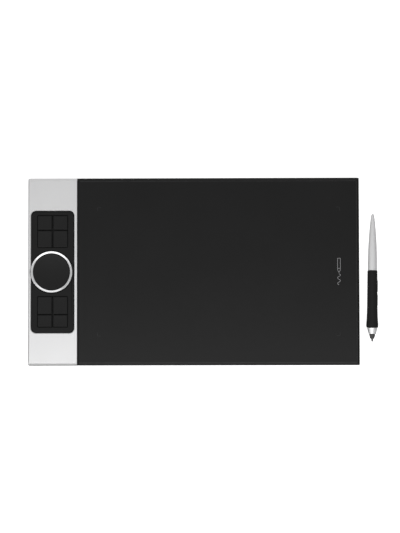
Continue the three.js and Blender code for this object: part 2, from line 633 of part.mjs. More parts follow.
// Fixed post and cup inside the dial. Its lip keeps the rotor from lifting.
function dialHub() {
  const bottom = BOARD_TOP + LAID_ON;
  const body = turned([[0, bottom], [HUB_POST, bottom], [HUB_POST, HUB_BOTTOM],
    [HUB_CUP, HUB_BOTTOM], [HUB_CUP, HUB_LIP_UNDER], [HUB_LIP, HUB_LIP_UNDER], [HUB_LIP, HUB_TOP],
    [HUB_CUP_BORE, HUB_TOP], [HUB_CUP_BORE, HUB_FLOOR], [0, HUB_FLOOR]], DIAL_SIDES);
  return cut(body, cylinder(0, 0, HUB_SCREW.shank + 0.1, BOARD_TOP - 0.6, HUB_SCREW.top + 0.2));
}

function touchDisc() {
  const bottom = TOUCH_BOARD_TOP + LAID_ON;
  const neck = HUB_CUP_BORE - 0.2;
  return turned([[0, bottom], [neck, bottom], [neck, DISC_RIM_UNDER], [DISC_RADIUS, DISC_RIM_UNDER],
    [DISC_RADIUS, 8.3], [DISC_RADIUS - 0.4, 8.5], [16, 8.3], [10, 8.12], [0, 8.05]], DIAL_SIDES);
}

function encoderPinion() {
  const pitch = (GEAR_MODULE * PINION_TEETH) / 2;
  const outline = gearOutline(PINION_TEETH, [pitch - DEDENDUM, pitch, pitch + GEAR_MODULE],
    GEAR_PLAY);
  const gear = prism(outline, GEAR_BOTTOM + LAID_ON, GEAR_TOP - LAID_ON);
  return joined(gear, cylinder(0, 0, SHAFT_RADIUS, BOARD_TOP + 2 * LAID_ON, 4.5));
}

function encoderBody() {
  const half = 3.3;
  const [bottom, top] = [BOARD_TOP + LAID_ON, 4.2];
  return cut(box(-half, -half, bottom, half, half, top),
    cylinder(0, 0, SHAFT_RADIUS + 0.2, bottom - 0.6, top + 0.8));
}

// Head down, under the main board.
function hubScrew() {
  const { head, face, shank, bottom, top } = HUB_SCREW;
  const seat = BOARD_BOTTOM - LAID_ON;
  return turned([[0, bottom], [face, bottom], [head, bottom + 0.25], [head, seat], [shank, seat],
    [shank, top], [0, top]], 12);
}

add(tablet, 'dial_rotor', dialRotor(), 'acetal', DIAL_X);
add(tablet, 'dial_ring', dialRing(), 'ring', DIAL_X);
add(tablet, 'dial_hub', dialHub(), 'black', DIAL_X);
add(tablet, 'touch_board', cylinder(0, 0, TOUCH_BOARD_RADIUS, HUB_FLOOR + LAID_ON,
  TOUCH_BOARD_TOP, DIAL_SIDES), 'board', DIAL_X);
add(tablet, 'touch_disc', touchDisc(), 'touch', DIAL_X);
add(tablet, 'hub_screw', hubScrew(), 'steel', DIAL_X);
add(tablet, 'encoder_body', encoderBody(), 'black', DIAL_X + PINION_DISTANCE);
add(tablet, 'encoder_pinion', encoderPinion(), 'acetal', DIAL_X + PINION_DISTANCE);

// ---------------------------------------------------------------- pen

// The pen is modelled along +Y from the tip of its nib, with its buttons on the +X side.
const pen = new THREE.Group();
pen.position.set(TABLET_X + PEN_X, PEN_TIP_Y, PEN_AXIS_HEIGHT);
pen.rotation.set(-PEN_TILT, 0, PEN_TURN, 'ZXY');
part.add(pen);

const PEN_BUTTON = { length: 13, width: 4.4, front: 44.8, rear: 60, top: 5.7, root: 2.8 };
const BUTTON_STEM = { size: 1.6, bottom: 2.1 };
const WINDOW_FIT = 0.25;
const PEN_SIDES = 20;
const PEN_CORE_SIDES = 16;
const NIB_RADIUS = 1.0;
const NIB_BORE = 1.15;
const NIB_END = 30.3;
const SLEEVE_BORE = 4.35;        // inside of the grip and the tail
const CHASSIS = { start: 15.3, end: 92, bore: 3.5, radius: 4.2 };
const CONE_NECK = { radius: 3.35, bore: 2.6, end: 18.2 };

// A solid turned about the pen's axis, from a list of [distance from the tip, radius].
function penTurned(profile, sides = PEN_SIDES) {
  const points = profile.map(([along, radius]) => new THREE.Vector2(radius, along));
  return solid(new THREE.LatheGeometry(points, sides));
}

// A tube on the pen's axis.
function penTube(start, end, bore, radius, sides) {
  return penTurned([[start, bore], [start, radius], [end, radius], [end, bore], [start, bore]], sides);
}

// A rounded bar that stands on the pen's +X side, from x0 to x1.
function sideBar(middle, length, width, x0, x1, radius) {
  const outline = rectangle(middle - length / 2, -width / 2, middle + length / 2, width / 2, radius);
  const geometry = new THREE.ExtrudeGeometry(new THREE.Shape(outline),
    { depth: x1 - x0, bevelEnabled: false });
  geometry.rotateY(Math.PI / 2).rotateX(Math.PI / 2);
  return solid(geometry.translate(x0, 0, 0));
}

// The hole that a side button stands in, through the grip and the chassis.
function buttonWindow(middle) {
  return sideBar(middle, PEN_BUTTON.length + 2 * WINDOW_FIT, PEN_BUTTON.width + 2 * WINDOW_FIT,
    1, FLARE.radius + PAST, 1.2);
}

function penNib() {
  return penTurned([[0, 0], [0.05, 0.45], [0.5, 0.75], [1.8, NIB_RADIUS], [NIB_END, NIB_RADIUS],
    [NIB_END, 0]], 12);
}

function penCollar() {
  return penTurned([[3.0, NIB_BORE], [3.0, 1.55], [3.9, 2.3], [8.1, 3.4], [8.1, 2.4], [10.2, 2.4],
    [10.2, NIB_BORE], [3.0, NIB_BORE]]);
}

function penCone() {
  const { radius, bore, end } = CONE_NECK;
  return penTurned([[8.3, bore], [8.3, 3.95], [14.8, 5.5], [14.8, radius], [end, radius],
    [end, bore], [8.3, bore]]);
}

function penGrip() {
  const sleeve = penTurned([[GRIP_FRONT, SLEEVE_BORE], [GRIP_FRONT, 5.75], [15.3, 6.15],
    [16.2, 6.42], [FLARE.at, FLARE.radius], [22.5, 6.12], [27.5, 5.85], [36, 5.62], [50, 5.5],
    [GRIP_HEEL.at, GRIP_HEEL.radius], [GRIP_REAR, 5.1], [GRIP_REAR, SLEEVE_BORE],
    [GRIP_FRONT, SLEEVE_BORE]]);
  return cut(sleeve, buttonWindow(PEN_BUTTON.front), buttonWindow(PEN_BUTTON.rear));
}

function penChassis() {
  const { start, end, bore, radius } = CHASSIS;
  const tube = penTube(start, end, bore, radius, PEN_SIDES);
  return cut(tube, buttonWindow(PEN_BUTTON.front), buttonWindow(PEN_BUTTON.rear));
}

function penTail() {
  const front = GRIP_REAR + 0.2;
  return penTurned([[front, SLEEVE_BORE], [front, 5.0], [88, 4.92], [98.8, 4.72], [109.7, 4.15],
    [120.5, 3.38], [128, 2.68], [133.5, 2.0], [136.8, 1.5], [PEN_LENGTH, 0.9], [PEN_LENGTH, 0],
    [CHASSIS.end + 2, 0], [CHASSIS.end + 1, SLEEVE_BORE], [front, SLEEVE_BORE]]);
}

// Cap, lug that holds it in, and stem towards the switch.
function penButton() {
  const { length, width, top, root } = PEN_BUTTON;
  const cap = sideBar(0, length, width, root, top - 0.3, 1);
  const crown = sideBar(0, length - 1, width - 1, root, top, 0.6);
  const lug = sideBar(0, length + 1.6, 3.2, root - 0.4, root + 0.1, 0.6);
  const stem = sideBar(0, BUTTON_STEM.size, BUTTON_STEM.size, BUTTON_STEM.bottom, root + 0.1, 0.6);
  return joined(cap, crown, lug, stem);
}

add(pen, 'pen_nib', penNib(), 'nib');
add(pen, 'pen_collar', penCollar(), 'nib');
add(pen, 'pen_cone', penCone(), 'ring');
add(pen, 'pen_grip', penGrip(), 'rubber');
add(pen, 'pen_chassis', penChassis(), 'black');
add(pen, 'pen_tail', penTail(), 'aluminium');
add(pen, 'pen_ferrite', penTube(10.5, 27, NIB_BORE, 1.9, PEN_CORE_SIDES), 'ferrite');
add(pen, 'pen_coil', penTube(18.8, 26.5, 2.1, 3.1, PEN_CORE_SIDES), 'copper');
add(pen, 'pen_force_sensor', penTurned([[30.8, 0], [30.8, 3.1], [36.6, 3.1], [36.6, 0]],
  PEN_CORE_SIDES), 'steel');
add(pen, 'pen_board', box(-0.5, 38, -2.6, 0.5, 88, 2.6), 'board');
for (const [end, middle] of [['front', PEN_BUTTON.front], ['rear', PEN_BUTTON.rear]]) {
  add(pen, `pen_button_${end}`, penButton(), 'key', 0, middle);
  add(pen, `pen_switch_${end}`, box(0.55, -1.6, -1.6, 1.6, 1.6, 1.6), 'steel', 0, middle);
}

export default part;
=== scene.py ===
import math

import bmesh
import bpy
from mathutils import Matrix, Vector
from mathutils.geometry import tessellate_polygon


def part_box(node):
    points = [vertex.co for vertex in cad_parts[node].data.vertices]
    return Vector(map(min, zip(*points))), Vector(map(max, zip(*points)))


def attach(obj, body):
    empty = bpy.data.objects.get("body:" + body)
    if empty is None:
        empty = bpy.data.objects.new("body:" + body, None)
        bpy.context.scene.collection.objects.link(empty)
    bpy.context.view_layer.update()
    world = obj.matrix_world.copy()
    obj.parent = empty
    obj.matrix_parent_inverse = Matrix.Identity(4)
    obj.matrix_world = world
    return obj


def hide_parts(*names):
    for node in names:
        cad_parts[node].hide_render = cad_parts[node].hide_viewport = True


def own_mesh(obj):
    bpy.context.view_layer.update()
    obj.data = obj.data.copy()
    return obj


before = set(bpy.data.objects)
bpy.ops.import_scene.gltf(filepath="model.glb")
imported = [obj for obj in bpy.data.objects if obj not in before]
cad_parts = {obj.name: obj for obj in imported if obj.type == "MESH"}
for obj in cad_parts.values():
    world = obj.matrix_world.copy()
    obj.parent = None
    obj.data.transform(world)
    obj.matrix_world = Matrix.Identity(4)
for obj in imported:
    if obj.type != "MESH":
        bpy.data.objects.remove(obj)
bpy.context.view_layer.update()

# A pen drawing tablet and its pen. Shapes are worked out in millimetres, in the frame's axes, and
# become metres when a piece is made. Boxes of the CAD nodes give the places and main sizes.

MM = 0.001


def box_mm(node):
    """Lowest and highest corner of a CAD node, in millimetres."""
    low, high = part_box(node)
    return low / MM, high / MM


TRAY_LOW, TRAY_HIGH = box_mm("back_cover")
DECK_LOW, DECK_HIGH = box_mm("control_deck")
SHEET_LOW, SHEET_HIGH = box_mm("work_surface")
PANEL_LOW, PANEL_HIGH = box_mm("key_panel")
RING_LOW, RING_HIGH = box_mm("dial_ring")
DISC_LOW, DISC_HIGH = box_mm("touch_disc")

CORNER = 1.2                     # plan radius of the tablet's corners
PLATE_EDGE = 0.5                 # height of the plates' upright edge, below their bevel
DECK_BEVEL = (1.2, 2.0, 0.4, 2.8)    # left, front, right, rear
SHEET_BEVEL = (1.2, 2.8, 2.2, 2.8)

PANEL_FLANGE = 0.6               # how far the panel's hidden flange reaches past its opening
PANEL_FIT = 0.4                  # gap between the panel and the opening
PANEL_CORNER = 5.5
PANEL_CENTRE = (PANEL_LOW + PANEL_HIGH) / 2
OPENING_X = (PANEL_HIGH.x - PANEL_LOW.x) / 2 - PANEL_FLANGE
OPENING_Y = (PANEL_HIGH.y - PANEL_LOW.y) / 2 - PANEL_FLANGE

DIAL_CENTRE = (RING_LOW + RING_HIGH) / 2
DIAL_RADIUS = (RING_HIGH.x - RING_LOW.x) / 2
DIAL_HOLE = DIAL_RADIUS + 0.3     # in the deck
PANEL_DIAL_HOLE = DIAL_RADIUS + 0.45
DIAL_BORE = 20.0
DISC_RADIUS = (DISC_HIGH.x - DISC_LOW.x) / 2

KEY_LIP = 0.9                    # hidden lip on the outer sides of a key
KEY_GAP = (1.4, 0.8)             # between the caps of neighbouring keys, across and along
KEY_LIP_FIT = 0.1                # half the gap between their lips
KEY_CLEARANCE = 0.25             # round a group of keys

PEN_TURN = math.radians(-0.7)    # the pen lies a little askew
NIB_LOW, NIB_HIGH = box_mm("pen_nib")
NIB_STRAIGHT = (1.8, 30.3)       # where the nib's straight length starts and ends, from its tip
NIB_MIDDLE = (NIB_STRAIGHT[0] + NIB_STRAIGHT[1]) / 2
PEN_X = (NIB_LOW.x + NIB_HIGH.x) / 2 + math.sin(PEN_TURN) * NIB_MIDDLE
PEN_TIP_Y = NIB_LOW.y
PEN_LENGTH = 137.9
FLARE = (18.6, 6.5)              # distance from the tip, radius
HEEL = (76.1, 5.35)
PEN_TILT = math.atan((FLARE[1] - HEEL[1]) / (HEEL[0] - FLARE[0]))
PEN_HEIGHT = FLARE[1] * math.cos(PEN_TILT) + FLARE[0] * math.sin(PEN_TILT)
PEN_PLACE = (Matrix.Translation((PEN_X, PEN_TIP_Y, PEN_HEIGHT))
             @ Matrix.Rotation(PEN_TURN, 4, "Z")
             @ Matrix.Rotation(-PEN_TILT - math.pi / 2, 4, "X"))


# ---------------------------------------------------------------- outlines and profiles

def rectangle(x0, y0, x1, y1, radius, steps=8):
    """A rounded rectangle, anticlockwise from its right-hand rear corner."""
    corners = ((x1 - radius, y1 - radius), (x0 + radius, y1 - radius),
               (x0 + radius, y0 + radius), (x1 - radius, y0 + radius))
    points = []
    for quarter, (x, y) in enumerate(corners):
        for step in range(steps + 1):
            angle = (quarter + step / steps) * math.pi / 2
            points.append((x + radius * math.cos(angle), y + radius * math.sin(angle)))
    return points


def circle(radius, x=0.0, y=0.0, steps=48):
    angles = [2 * math.pi * step / steps for step in range(steps)]
    return [(x + radius * math.cos(a), y + radius * math.sin(a)) for a in angles]


def arc(x, y, radius, start, end, steps):
    """Points along an arc, from one angle in degrees to another."""
    angles = [math.radians(start + (end - start) * step / steps) for step in range(steps + 1)]
    return [(x + radius * math.cos(a), y + radius * math.sin(a)) for a in angles]


def eased(points, share=0.3, steps=3):
    """Rounds the inner corners of a chain of points, over a share of the shorter side."""
    chain = [Vector(p) for p in points]
    out = [chain[0]]
    for before, corner, after in zip(chain, chain[1:], chain[2:]):
        reach = share * min((before - corner).length, (after - corner).length)
        start = corner + (before - corner).normalized() * reach
        end = corner + (after - corner).normalized() * reach
        for step in range(steps + 1):
            t = step / steps
            out.append(start * (1 - t) ** 2 + corner * 2 * t * (1 - t) + end * t ** 2)
    out.append(chain[-1])
    return [tuple(p) for p in out]


# ---------------------------------------------------------------- solids

def solid(outer, through=(), pits_above=(), pits_below=()):
    """A closed solid from stacks of outlines [(z, outline), ...], each from the bottom up.

    A through stack is a hole. A pit above opens at the top, and a pit below at the bottom.
    """
    verts, faces, ends = [], [], []
    for stack in (outer, *through, *pits_above, *pits_below):
        rings = []
        for z, outline in stack:
            rings.append(range(len(verts), len(verts) + len(outline)))
            verts.extend((x, y, z) for x, y in outline)
        for low, high in zip(rings, rings[1:]):
            for i, a in enumerate(low):
                j = (i + 1) % len(low)
                faces.append((a, low[j], high[j], high[i]))
        ends.append((rings[0], rings[-1]))

    def cap(rings):
        indices = [i for ring in rings for i in ring]
        loops = [[Vector(verts[i]) for i in ring] for ring in rings]
        faces.extend(tuple(indices[k] for k in corner) for corner in tessellate_polygon(loops))

    holes = ends[1:1 + len(through)]
    above = ends[1 + len(through):1 + len(through) + len(pits_above)]
    below = ends[1 + len(through) + len(pits_above):]
    cap([ends[0][0], *[end[0] for end in holes], *[end[0] for end in below]])
    cap([ends[0][1], *[end[1] for end in holes], *[end[1] for end in above]])
    for end in above:
        cap([end[0]])
    for end in below:
        cap([end[1]])
    return verts, faces


def turned(profile, steps=96, closed=False, x=0.0, y=0.0):
    """A solid turned about Z from [(radius, z), ...], which ends on the axis or is closed."""
    verts, faces, rows = [], [], []
    for radius, z in profile:
        if radius < 1e-6:
            rows.append([len(verts)] * steps)
            verts.append((x, y, z))
        else:
            rows.append(list(range(len(verts), len(verts) + steps)))
            verts.extend((px, py, z) for px, py in circle(radius, x, y, steps))
    pairs = list(zip(rows, rows[1:]))
    if closed:
        pairs.append((rows[-1], rows[0]))
    for low, high in pairs:
        for i in range(steps):
            j = (i + 1) % steps
            corners = dict.fromkeys((low[i], low[j], high[j], high[i]))
            if len(corners) > 2:
                faces.append(tuple(corners))
    return verts, faces


def bar(x0, y0, z0, x1, y1, z1, radius=0.3):
    """An upright block with rounded corners and eased top and bottom edges."""
    def level(inset, z):
        return z, rectangle(x0 + inset, y0 + inset, x1 - inset, y1 - inset, radius, 3)

    ease = min(0.3 * radius, 0.3 * (z1 - z0))
    return solid([level(ease, z0), level(0, z0 + ease), level(0, z1 - ease), level(ease, z1)])


def moved(shape, matrix):
    verts, faces = shape
    return [tuple(matrix @ Vector(v)) for v in verts], faces


# ---------------------------------------------------------------- pieces

def mesh_object(name, shapes, place=Matrix.Identity(4)):
    verts, faces = [], []
    for shape_verts, shape_faces in shapes:
        first = len(verts)
        verts.extend(place @ Vector(v) * MM for v in shape_verts)
        faces.extend(tuple(first + i for i in face) for face in shape_faces)
    mesh = bpy.data.meshes.new(name)
    mesh.from_pydata(verts, [], faces)
    mesh.validate()
    made = bpy.data.objects.new(name, mesh)
    bpy.context.scene.collection.objects.link(made)
    outward(made)
    return made


def outward(made):
    """Turns every face of an object's mesh to face out."""
    work = bmesh.new()
    work.from_mesh(made.data)
    bmesh.ops.recalc_face_normals(work, faces=work.faces)
    work.to_mesh(made.data)
    work.free()


def carve(made, cutter):
    """Cuts a shape out of an object, and applies the cut."""
    tool = mesh_object("cutter", [cutter])
    boolean = made.modifiers.new("cut", "BOOLEAN")
    boolean.operation = "DIFFERENCE"
    boolean.solver = "EXACT"
    boolean.object = tool
    graph = bpy.context.evaluated_depsgraph_get()
    result = bpy.data.meshes.new_from_object(made.evaluated_get(graph))
    made.modifiers.clear()
    made.data = result
    bpy.data.objects.remove(tool)


def piece(name, shapes, finish, body="tablet", stands_for=(), place=Matrix.Identity(4),
          cutters=(), sharp=38):
    """Makes a piece from shapes in millimetres, dresses it and lets it ride on a body."""
    made = mesh_object(name, shapes, place)
    for cutter in cutters:
        carve(made, moved(cutter, place))
    made.data.shade_smooth()
    made.data.set_sharp_from_angle(angle=math.radians(sharp))
    weighted = made.modifiers.new("even shading", "WEIGHTED_NORMAL")
    weighted.keep_sharp = True
    made.data.materials.clear()
    made.data.materials.append(finish)
    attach(made, body)
    if stands_for:
        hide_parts(*stands_for)
    return made


# ---------------------------------------------------------------- materials

class Finish:
    """A Principled material whose textures lie in the frame's own coordinates."""

    def __init__(self, name, colour, roughness, metallic=0.0, specular=0.5):
        self.material = bpy.data.materials.new(name)
        self.material.use_nodes = True
        self.nodes = self.material.node_tree.nodes
        self.links = self.material.node_tree.links
        self.shader = self.nodes["Principled BSDF"]
        self.shader.inputs["Base Color"].default_value = (*colour, 1)
        self.shader.inputs["Roughness"].default_value = roughness
        self.shader.inputs["Metallic"].default_value = metallic
        self.shader.inputs["Specular IOR Level"].default_value = specular
        self.place = self.nodes.new("ShaderNodeTexCoord").outputs["Object"]
        self.colour = colour
        self.roughness = roughness
        self.relief = None

    def math(self, operation, a, b):
        node = self.nodes.new("ShaderNodeMath")
        node.operation = operation
        for socket, value in zip(node.inputs, (a, b)):
            if isinstance(value, (int, float)):
                socket.default_value = value
            else:
                self.links.new(value, socket)
        return node.outputs[0]

    def noise(self, size, detail=2.0, stretch=(1, 1, 1)):
        """Noise from 0 to 1, with features of that size in millimetres."""
        mapping = self.nodes.new("ShaderNodeMapping")
        mapping.inputs["Scale"].default_value = stretch
        self.links.new(self.place, mapping.inputs["Vector"])
        node = self.nodes.new("ShaderNodeTexNoise")
        node.inputs["Scale"].default_value = 1 / (size * MM)
        node.inputs["Detail"].default_value = detail
        self.links.new(mapping.outputs[0], node.inputs["Vector"])
        return node.outputs["Fac"]

    def rings(self, centre, size, axes="XY"):
        """Noise that changes only with the distance from an axis through centre, in mm."""
        shift = self.nodes.new("ShaderNodeVectorMath")
        shift.operation = "SUBTRACT"
        shift.inputs[1].default_value = Vector(centre) * MM
        self.links.new(self.place, shift.inputs[0])
        flat = self.nodes.new("ShaderNodeVectorMath")
        flat.operation = "MULTIPLY"
        flat.inputs[1].default_value = [1.0 if axis in axes else 0.0 for axis in "XYZ"]
        self.links.new(shift.outputs[0], flat.inputs[0])
        length = self.nodes.new("ShaderNodeVectorMath")
        length.operation = "LENGTH"
        self.links.new(flat.outputs[0], length.inputs[0])
        node = self.nodes.new("ShaderNodeTexNoise")
        node.noise_dimensions = "1D"
        node.inputs["Scale"].default_value = 1 / (size * MM)
        node.inputs["Detail"].default_value = 3.0
        self.links.new(length.outputs["Value"], node.inputs["W"])
        return node.outputs["Fac"]

    def bands(self, size, axis):
        """Even stripes across one axis, from 0 to 1."""
        node = self.nodes.new("ShaderNodeTexWave")
        node.bands_direction = axis
        node.inputs["Scale"].default_value = math.pi / (10 * size * MM)
        self.links.new(self.place, node.inputs["Vector"])
        return node.outputs["Fac"]

    def spread(self, value, low, high):
        """Maps the middle of a noise's range onto low to high."""
        node = self.nodes.new("ShaderNodeMapRange")
        node.inputs["From Min"].default_value = 0.3
        node.inputs["From Max"].default_value = 0.7
        node.inputs["To Min"].default_value = low
        node.inputs["To Max"].default_value = high
        self.links.new(value, node.inputs["Value"])
        return node.outputs["Result"]

    def tint(self, value, darker=0.9, lighter=1.1, other=None):
        """Colours the surface from a darker to a lighter shade of its colour, or to another."""
        node = self.nodes.new("ShaderNodeMix")
        node.data_type = "RGBA"
        node.inputs["A"].default_value = (*[c * darker for c in self.colour], 1)
        light = other if other else [c * lighter for c in self.colour]
        node.inputs["B"].default_value = (*light, 1)
        self.links.new(value, node.inputs["Factor"])
        self.links.new(node.outputs["Result"], self.shader.inputs["Base Color"])
        return self

    def polish(self, value, change):
        """Varies the roughness by that much each way."""
        spread = self.spread(value, self.roughness - change, self.roughness + change)
        self.links.new(spread, self.shader.inputs["Roughness"])
        return self

    def bump(self, value, depth):
        """Adds relief of that depth in millimetres."""
        node = self.nodes.new("ShaderNodeBump")
        node.inputs["Distance"].default_value = depth * MM
        self.links.new(value, node.inputs["Height"])
        if self.relief:
            self.links.new(self.relief, node.inputs["Normal"])
        self.relief = node.outputs["Normal"]
        self.links.new(self.relief, self.shader.inputs["Normal"])
        return self

    def set(self, socket, value):
        """Sets a constant on one of the shader's own sockets."""
        self.shader.inputs[socket].default_value = value
        return self


def anodised(name, shade, roughness, metallic=1.0):
    """Bead-blasted, anodised aluminium: a fine even grain with a faint cloudiness."""
    finish = Finish(name, (shade, shade, shade * 1.004), roughness, metallic)
    cloud = finish.noise(38, detail=4)
    grain = finish.noise(0.22, detail=3)
    finish.tint(finish.spread(cloud, 0.0, 1.0), 0.985, 1.015)
    finish.polish(grain, 0.05)
    return finish.bump(grain, 0.004).material


def lathe_metal(name, shade, roughness, centre, size, axes="XY", metallic=1.0):
    """Metal with the fine concentric marks of turning."""
    finish = Finish(name, (shade, shade, shade * 1.01), roughness, metallic)
    marks = finish.rings(centre, size, axes)
    finish.tint(finish.spread(marks, 0.0, 1.0), 0.97, 1.02)
    finish.polish(marks, 0.05)
    return finish.bump(marks, 0.002).material


def plated(name, colour, roughness):
    """Thin bright plating, a little cloudy."""
    finish = Finish(name, colour, roughness, metallic=1.0)
    cloud = finish.noise(0.8, detail=3)
    finish.tint(finish.spread(cloud, 0.0, 1.0), 0.94, 1.04)
    return finish.polish(cloud, 0.05).material


def moulded(name, shade, roughness, grain=0.3, depth=0.006, specular=0.3):
    """Black moulded plastic with a spark-eroded grain."""
    finish = Finish(name, (shade, shade, shade), roughness, specular=specular)
    fine = finish.noise(grain, detail=3)
    finish.tint(finish.spread(finish.noise(9, detail=3), 0.0, 1.0), 0.9, 1.1)
    finish.polish(fine, 0.06)
    return finish.bump(fine, depth).material


def drawing_sheet():
    """The work surface: black, with a tooth like paper and a faint unevenness from use."""
    finish = Finish("drawing sheet", (0.0018, 0.0018, 0.0019), 0.30, specular=0.30)
    tooth = finish.noise(0.24, detail=4)
    fibre = finish.noise(0.6, detail=2, stretch=(1, 0.35, 1))
    use = finish.noise(60, detail=5)
    finish.tint(finish.spread(use, 0.0, 1.0), 0.92, 1.08)
    finish.polish(use, 0.02)
    finish.bump(tooth, 0.012)
    return finish.bump(fibre, 0.008).material


def rubber(name, shade):
    finish = Finish(name, (shade, shade, shade), 0.72, specular=0.3)
    fine = finish.noise(0.35, detail=4)
    finish.tint(finish.spread(finish.noise(6, detail=4), 0.0, 1.0), 0.85, 1.15)
    finish.polish(fine, 0.08)
    finish.bump(fine, 0.012)
    return finish.material


def ink(name, colour, specular, lighter):
    """Grey print, slightly broken by the tooth of the sheet."""
    finish = Finish(name, colour, 0.6, specular=specular)
    tooth = finish.noise(0.24, detail=4)
    finish.tint(finish.spread(tooth, 0.0, 1.0), 0.8, lighter)
    return finish.bump(tooth, 0.01).material


def film_edge_highlight():
    """A pale strip at the drawing film's cut edge: a painted highlight of the crease there, lighter
    and darker at random along its length.
    """
    finish = Finish("film edge painted highlight", (0.09, 0.09, 0.095), 0.5, specular=0.3)
    finish.tint(finish.spread(finish.noise(11, detail=3), 0.0, 1.0), 0.6, 1.3)
    return finish.bump(finish.noise(0.3), 0.005).material


def dome_film_painted_shade():
    """Film of the snap dome sheets, made dark so that the gaps between the keys above it show
    painted shade.
    """
    finish = Finish("dome sheet film painted shade", (0.012, 0.012, 0.013), 0.4, specular=0.3)
    finish.tint(finish.spread(finish.noise(5), 0.0, 1.0), 0.8, 1.2)
    return finish.bump(finish.noise(0.6), 0.003).material


def circuit():
    """Green solder mask over copper tracks."""
    finish = Finish("circuit board", (0.012, 0.075, 0.035), 0.35)
    tracks = finish.math("MULTIPLY", finish.bands(1.4, "X"), finish.bands(2.1, "Y"))
    finish.tint(finish.math("GREATER_THAN", tracks, 0.55), 1.0, other=(0.03, 0.16, 0.07))
    finish.polish(finish.noise(3), 0.05)
    return finish.bump(tracks, 0.02).material


def amber_film():
    """Polyimide cable with its copper lines showing through."""
    finish = Finish("polyimide film", (0.42, 0.19, 0.03), 0.35)
    lines = finish.bands(0.8, "Y")
    finish.tint(finish.math("GREATER_THAN", lines, 0.5), 0.7, other=(0.55, 0.28, 0.07))
    return finish.bump(lines, 0.02).material


def winding():
    """Enamelled copper wire, wound close."""
    finish = Finish("copper winding", (0.55, 0.2, 0.07), 0.3, metallic=1.0)
    turns = finish.bands(0.12, "Y")
    finish.tint(turns, 0.6, 1.1)
    return finish.bump(turns, 0.04).material


def sintered():
    finish = Finish("ferrite", (0.045, 0.042, 0.04), 0.75)
    grain = finish.noise(0.12, detail=4)
    finish.tint(finish.spread(grain, 0.0, 1.0), 0.7, 1.3)
    return finish.bump(grain, 0.01).material


def paper_white():
    """The floor: a plain, even, very pale backdrop."""
    finish = Finish("floor", (0.93, 0.93, 0.93), 0.9, specular=0.2)
    finish.tint(finish.spread(finish.noise(400, detail=2), 0.0, 1.0), 0.995, 1.005)
    finish.set("Emission Color", (1, 1, 1, 1))
    finish.set("Emission Strength", 0.72)
    return finish.material


PEN_AXIS_POINT = (PEN_X, 0, PEN_HEIGHT)

COVER = anodised("cover aluminium", 0.60, 0.42)
DECK = anodised("deck aluminium", 0.768, 0.42)
RING = lathe_metal("ring metal", 0.86, 0.2, DIAL_CENTRE, 0.12)
PEN_TAIL = anodised("pen silver", 0.80, 0.42, metallic=0.4)
PEN_CONE = lathe_metal("pen cone metal", 0.90, 0.24, PEN_AXIS_POINT, 0.1, "XZ", metallic=0.6)
STEEL = anodised("zinc plated steel", 0.42, 0.35)
TIN = anodised("tinned steel", 0.58, 0.3)
GOLD = plated("contact gold", (0.80, 0.56, 0.20), 0.22)
SHEET = drawing_sheet()
FRAME_BLACK = moulded("frame plastic", 0.010, 0.5)
# The plate's black plastic is made darker than the film, so its bare margin and bevels show painted
# shade.
PLATE = moulded("plate plastic with painted shade", 0.0012, 0.34, grain=0.18, depth=0.003, specular=0.28)
PANEL = moulded("panel plastic", 0.0055, 0.58, specular=0.23)
KEY = moulded("key plastic", 0.0060, 0.6, grain=0.18, depth=0.003, specular=0.26)
TOUCH = moulded("touch plastic", 0.0060, 0.30, grain=0.14, depth=0.002, specular=0.26)
NOSE = moulded("nose plastic", 0.06, 0.45, grain=0.2, depth=0.003)
NIB = moulded("nib plastic", 0.05, 0.5, grain=0.2, depth=0.003)
ACETAL = moulded("acetal", 0.014, 0.45, grain=0.2, depth=0.002)
FOOT = rubber("foot rubber", 0.018)
GRIP = rubber("grip rubber", 0.0075)
INK = ink("print", (0.34, 0.34, 0.35), 0.3, 1.1)
FAINT_INK = ink("faint print", (0.03, 0.03, 0.032), 0.25, 1.2)
FILM_EDGE_HIGHLIGHT = film_edge_highlight()
DOME_FILM_SHADE = dome_film_painted_shade()
BOARD = circuit()
FILM = amber_film()
COPPER = winding()
FERRITE = sintered()


# ---------------------------------------------------------------- tray, feet and screws

FLOOR_INSET = 3.0                # how far the sloping sides draw in underneath
FLOOR_TOP = 1.8
SIDE_LOW = 2.6                   # where the sides stop sloping
RIM_WIDTH, RIM_DROP = 0.2, 0.25  # of the rim's eased edge
HOLLOW_SLOPE = 1.3               # further inset of the hollow's floor
HOLLOW_LOW = 3.2                 # where the hollow's sides become upright
WALL = 1.5
FOOT_FIT = 0.15                  # round a foot in its pit
SCREW_PIT = ((0, 3.0), (0.12, 2.85))     # height above the underside, radius
SCREW_HOLE = 1.4
RIB_WIDTH, RIB_TOP = 1.2, 3.9
LONG_RIBS_Y = (-45.2, 44.0)
LONG_RIBS_INSET = (79, 19)       # from the tray's left and right
CROSS_RIBS_X = (119.0, 279.0)    # from the tray's left
CROSS_RIBS_REACH = 80
POST_BORE, POST_RADIUS, POST_TOP = 0.85, 2.2, 2.75
ROOT = 0.3                       # how deep ribs and posts start in the floor
USB_MOUTH = (9.5, 3.7)           # width and height of the opening for the socket
FOOT_NODES = ("foot_front_left", "foot_front_right", "foot_rear_left", "foot_rear_right")
COVER_SCREWS = [f"cover_screw_{i + 1}" for i in range(6)]
BOARD_SCREWS = [f"board_screw_{i + 1}" for i in range(4)]


def tablet_outline(inset):
    return rectangle(TRAY_LOW.x + inset, TRAY_LOW.y + inset, TRAY_HIGH.x - inset,
                     TRAY_HIGH.y - inset, CORNER)


def centre_of(node):
    low, high = box_mm(node)
    return (low + high) / 2


def stadium(node, grow):
    """The outline of a foot, grown by that much."""
    low, high = box_mm(node)
    return rectangle(low.x - grow, low.y - grow, high.x + grow, high.y + grow,
                     (high.y - low.y) / 2 + grow - 0.01)


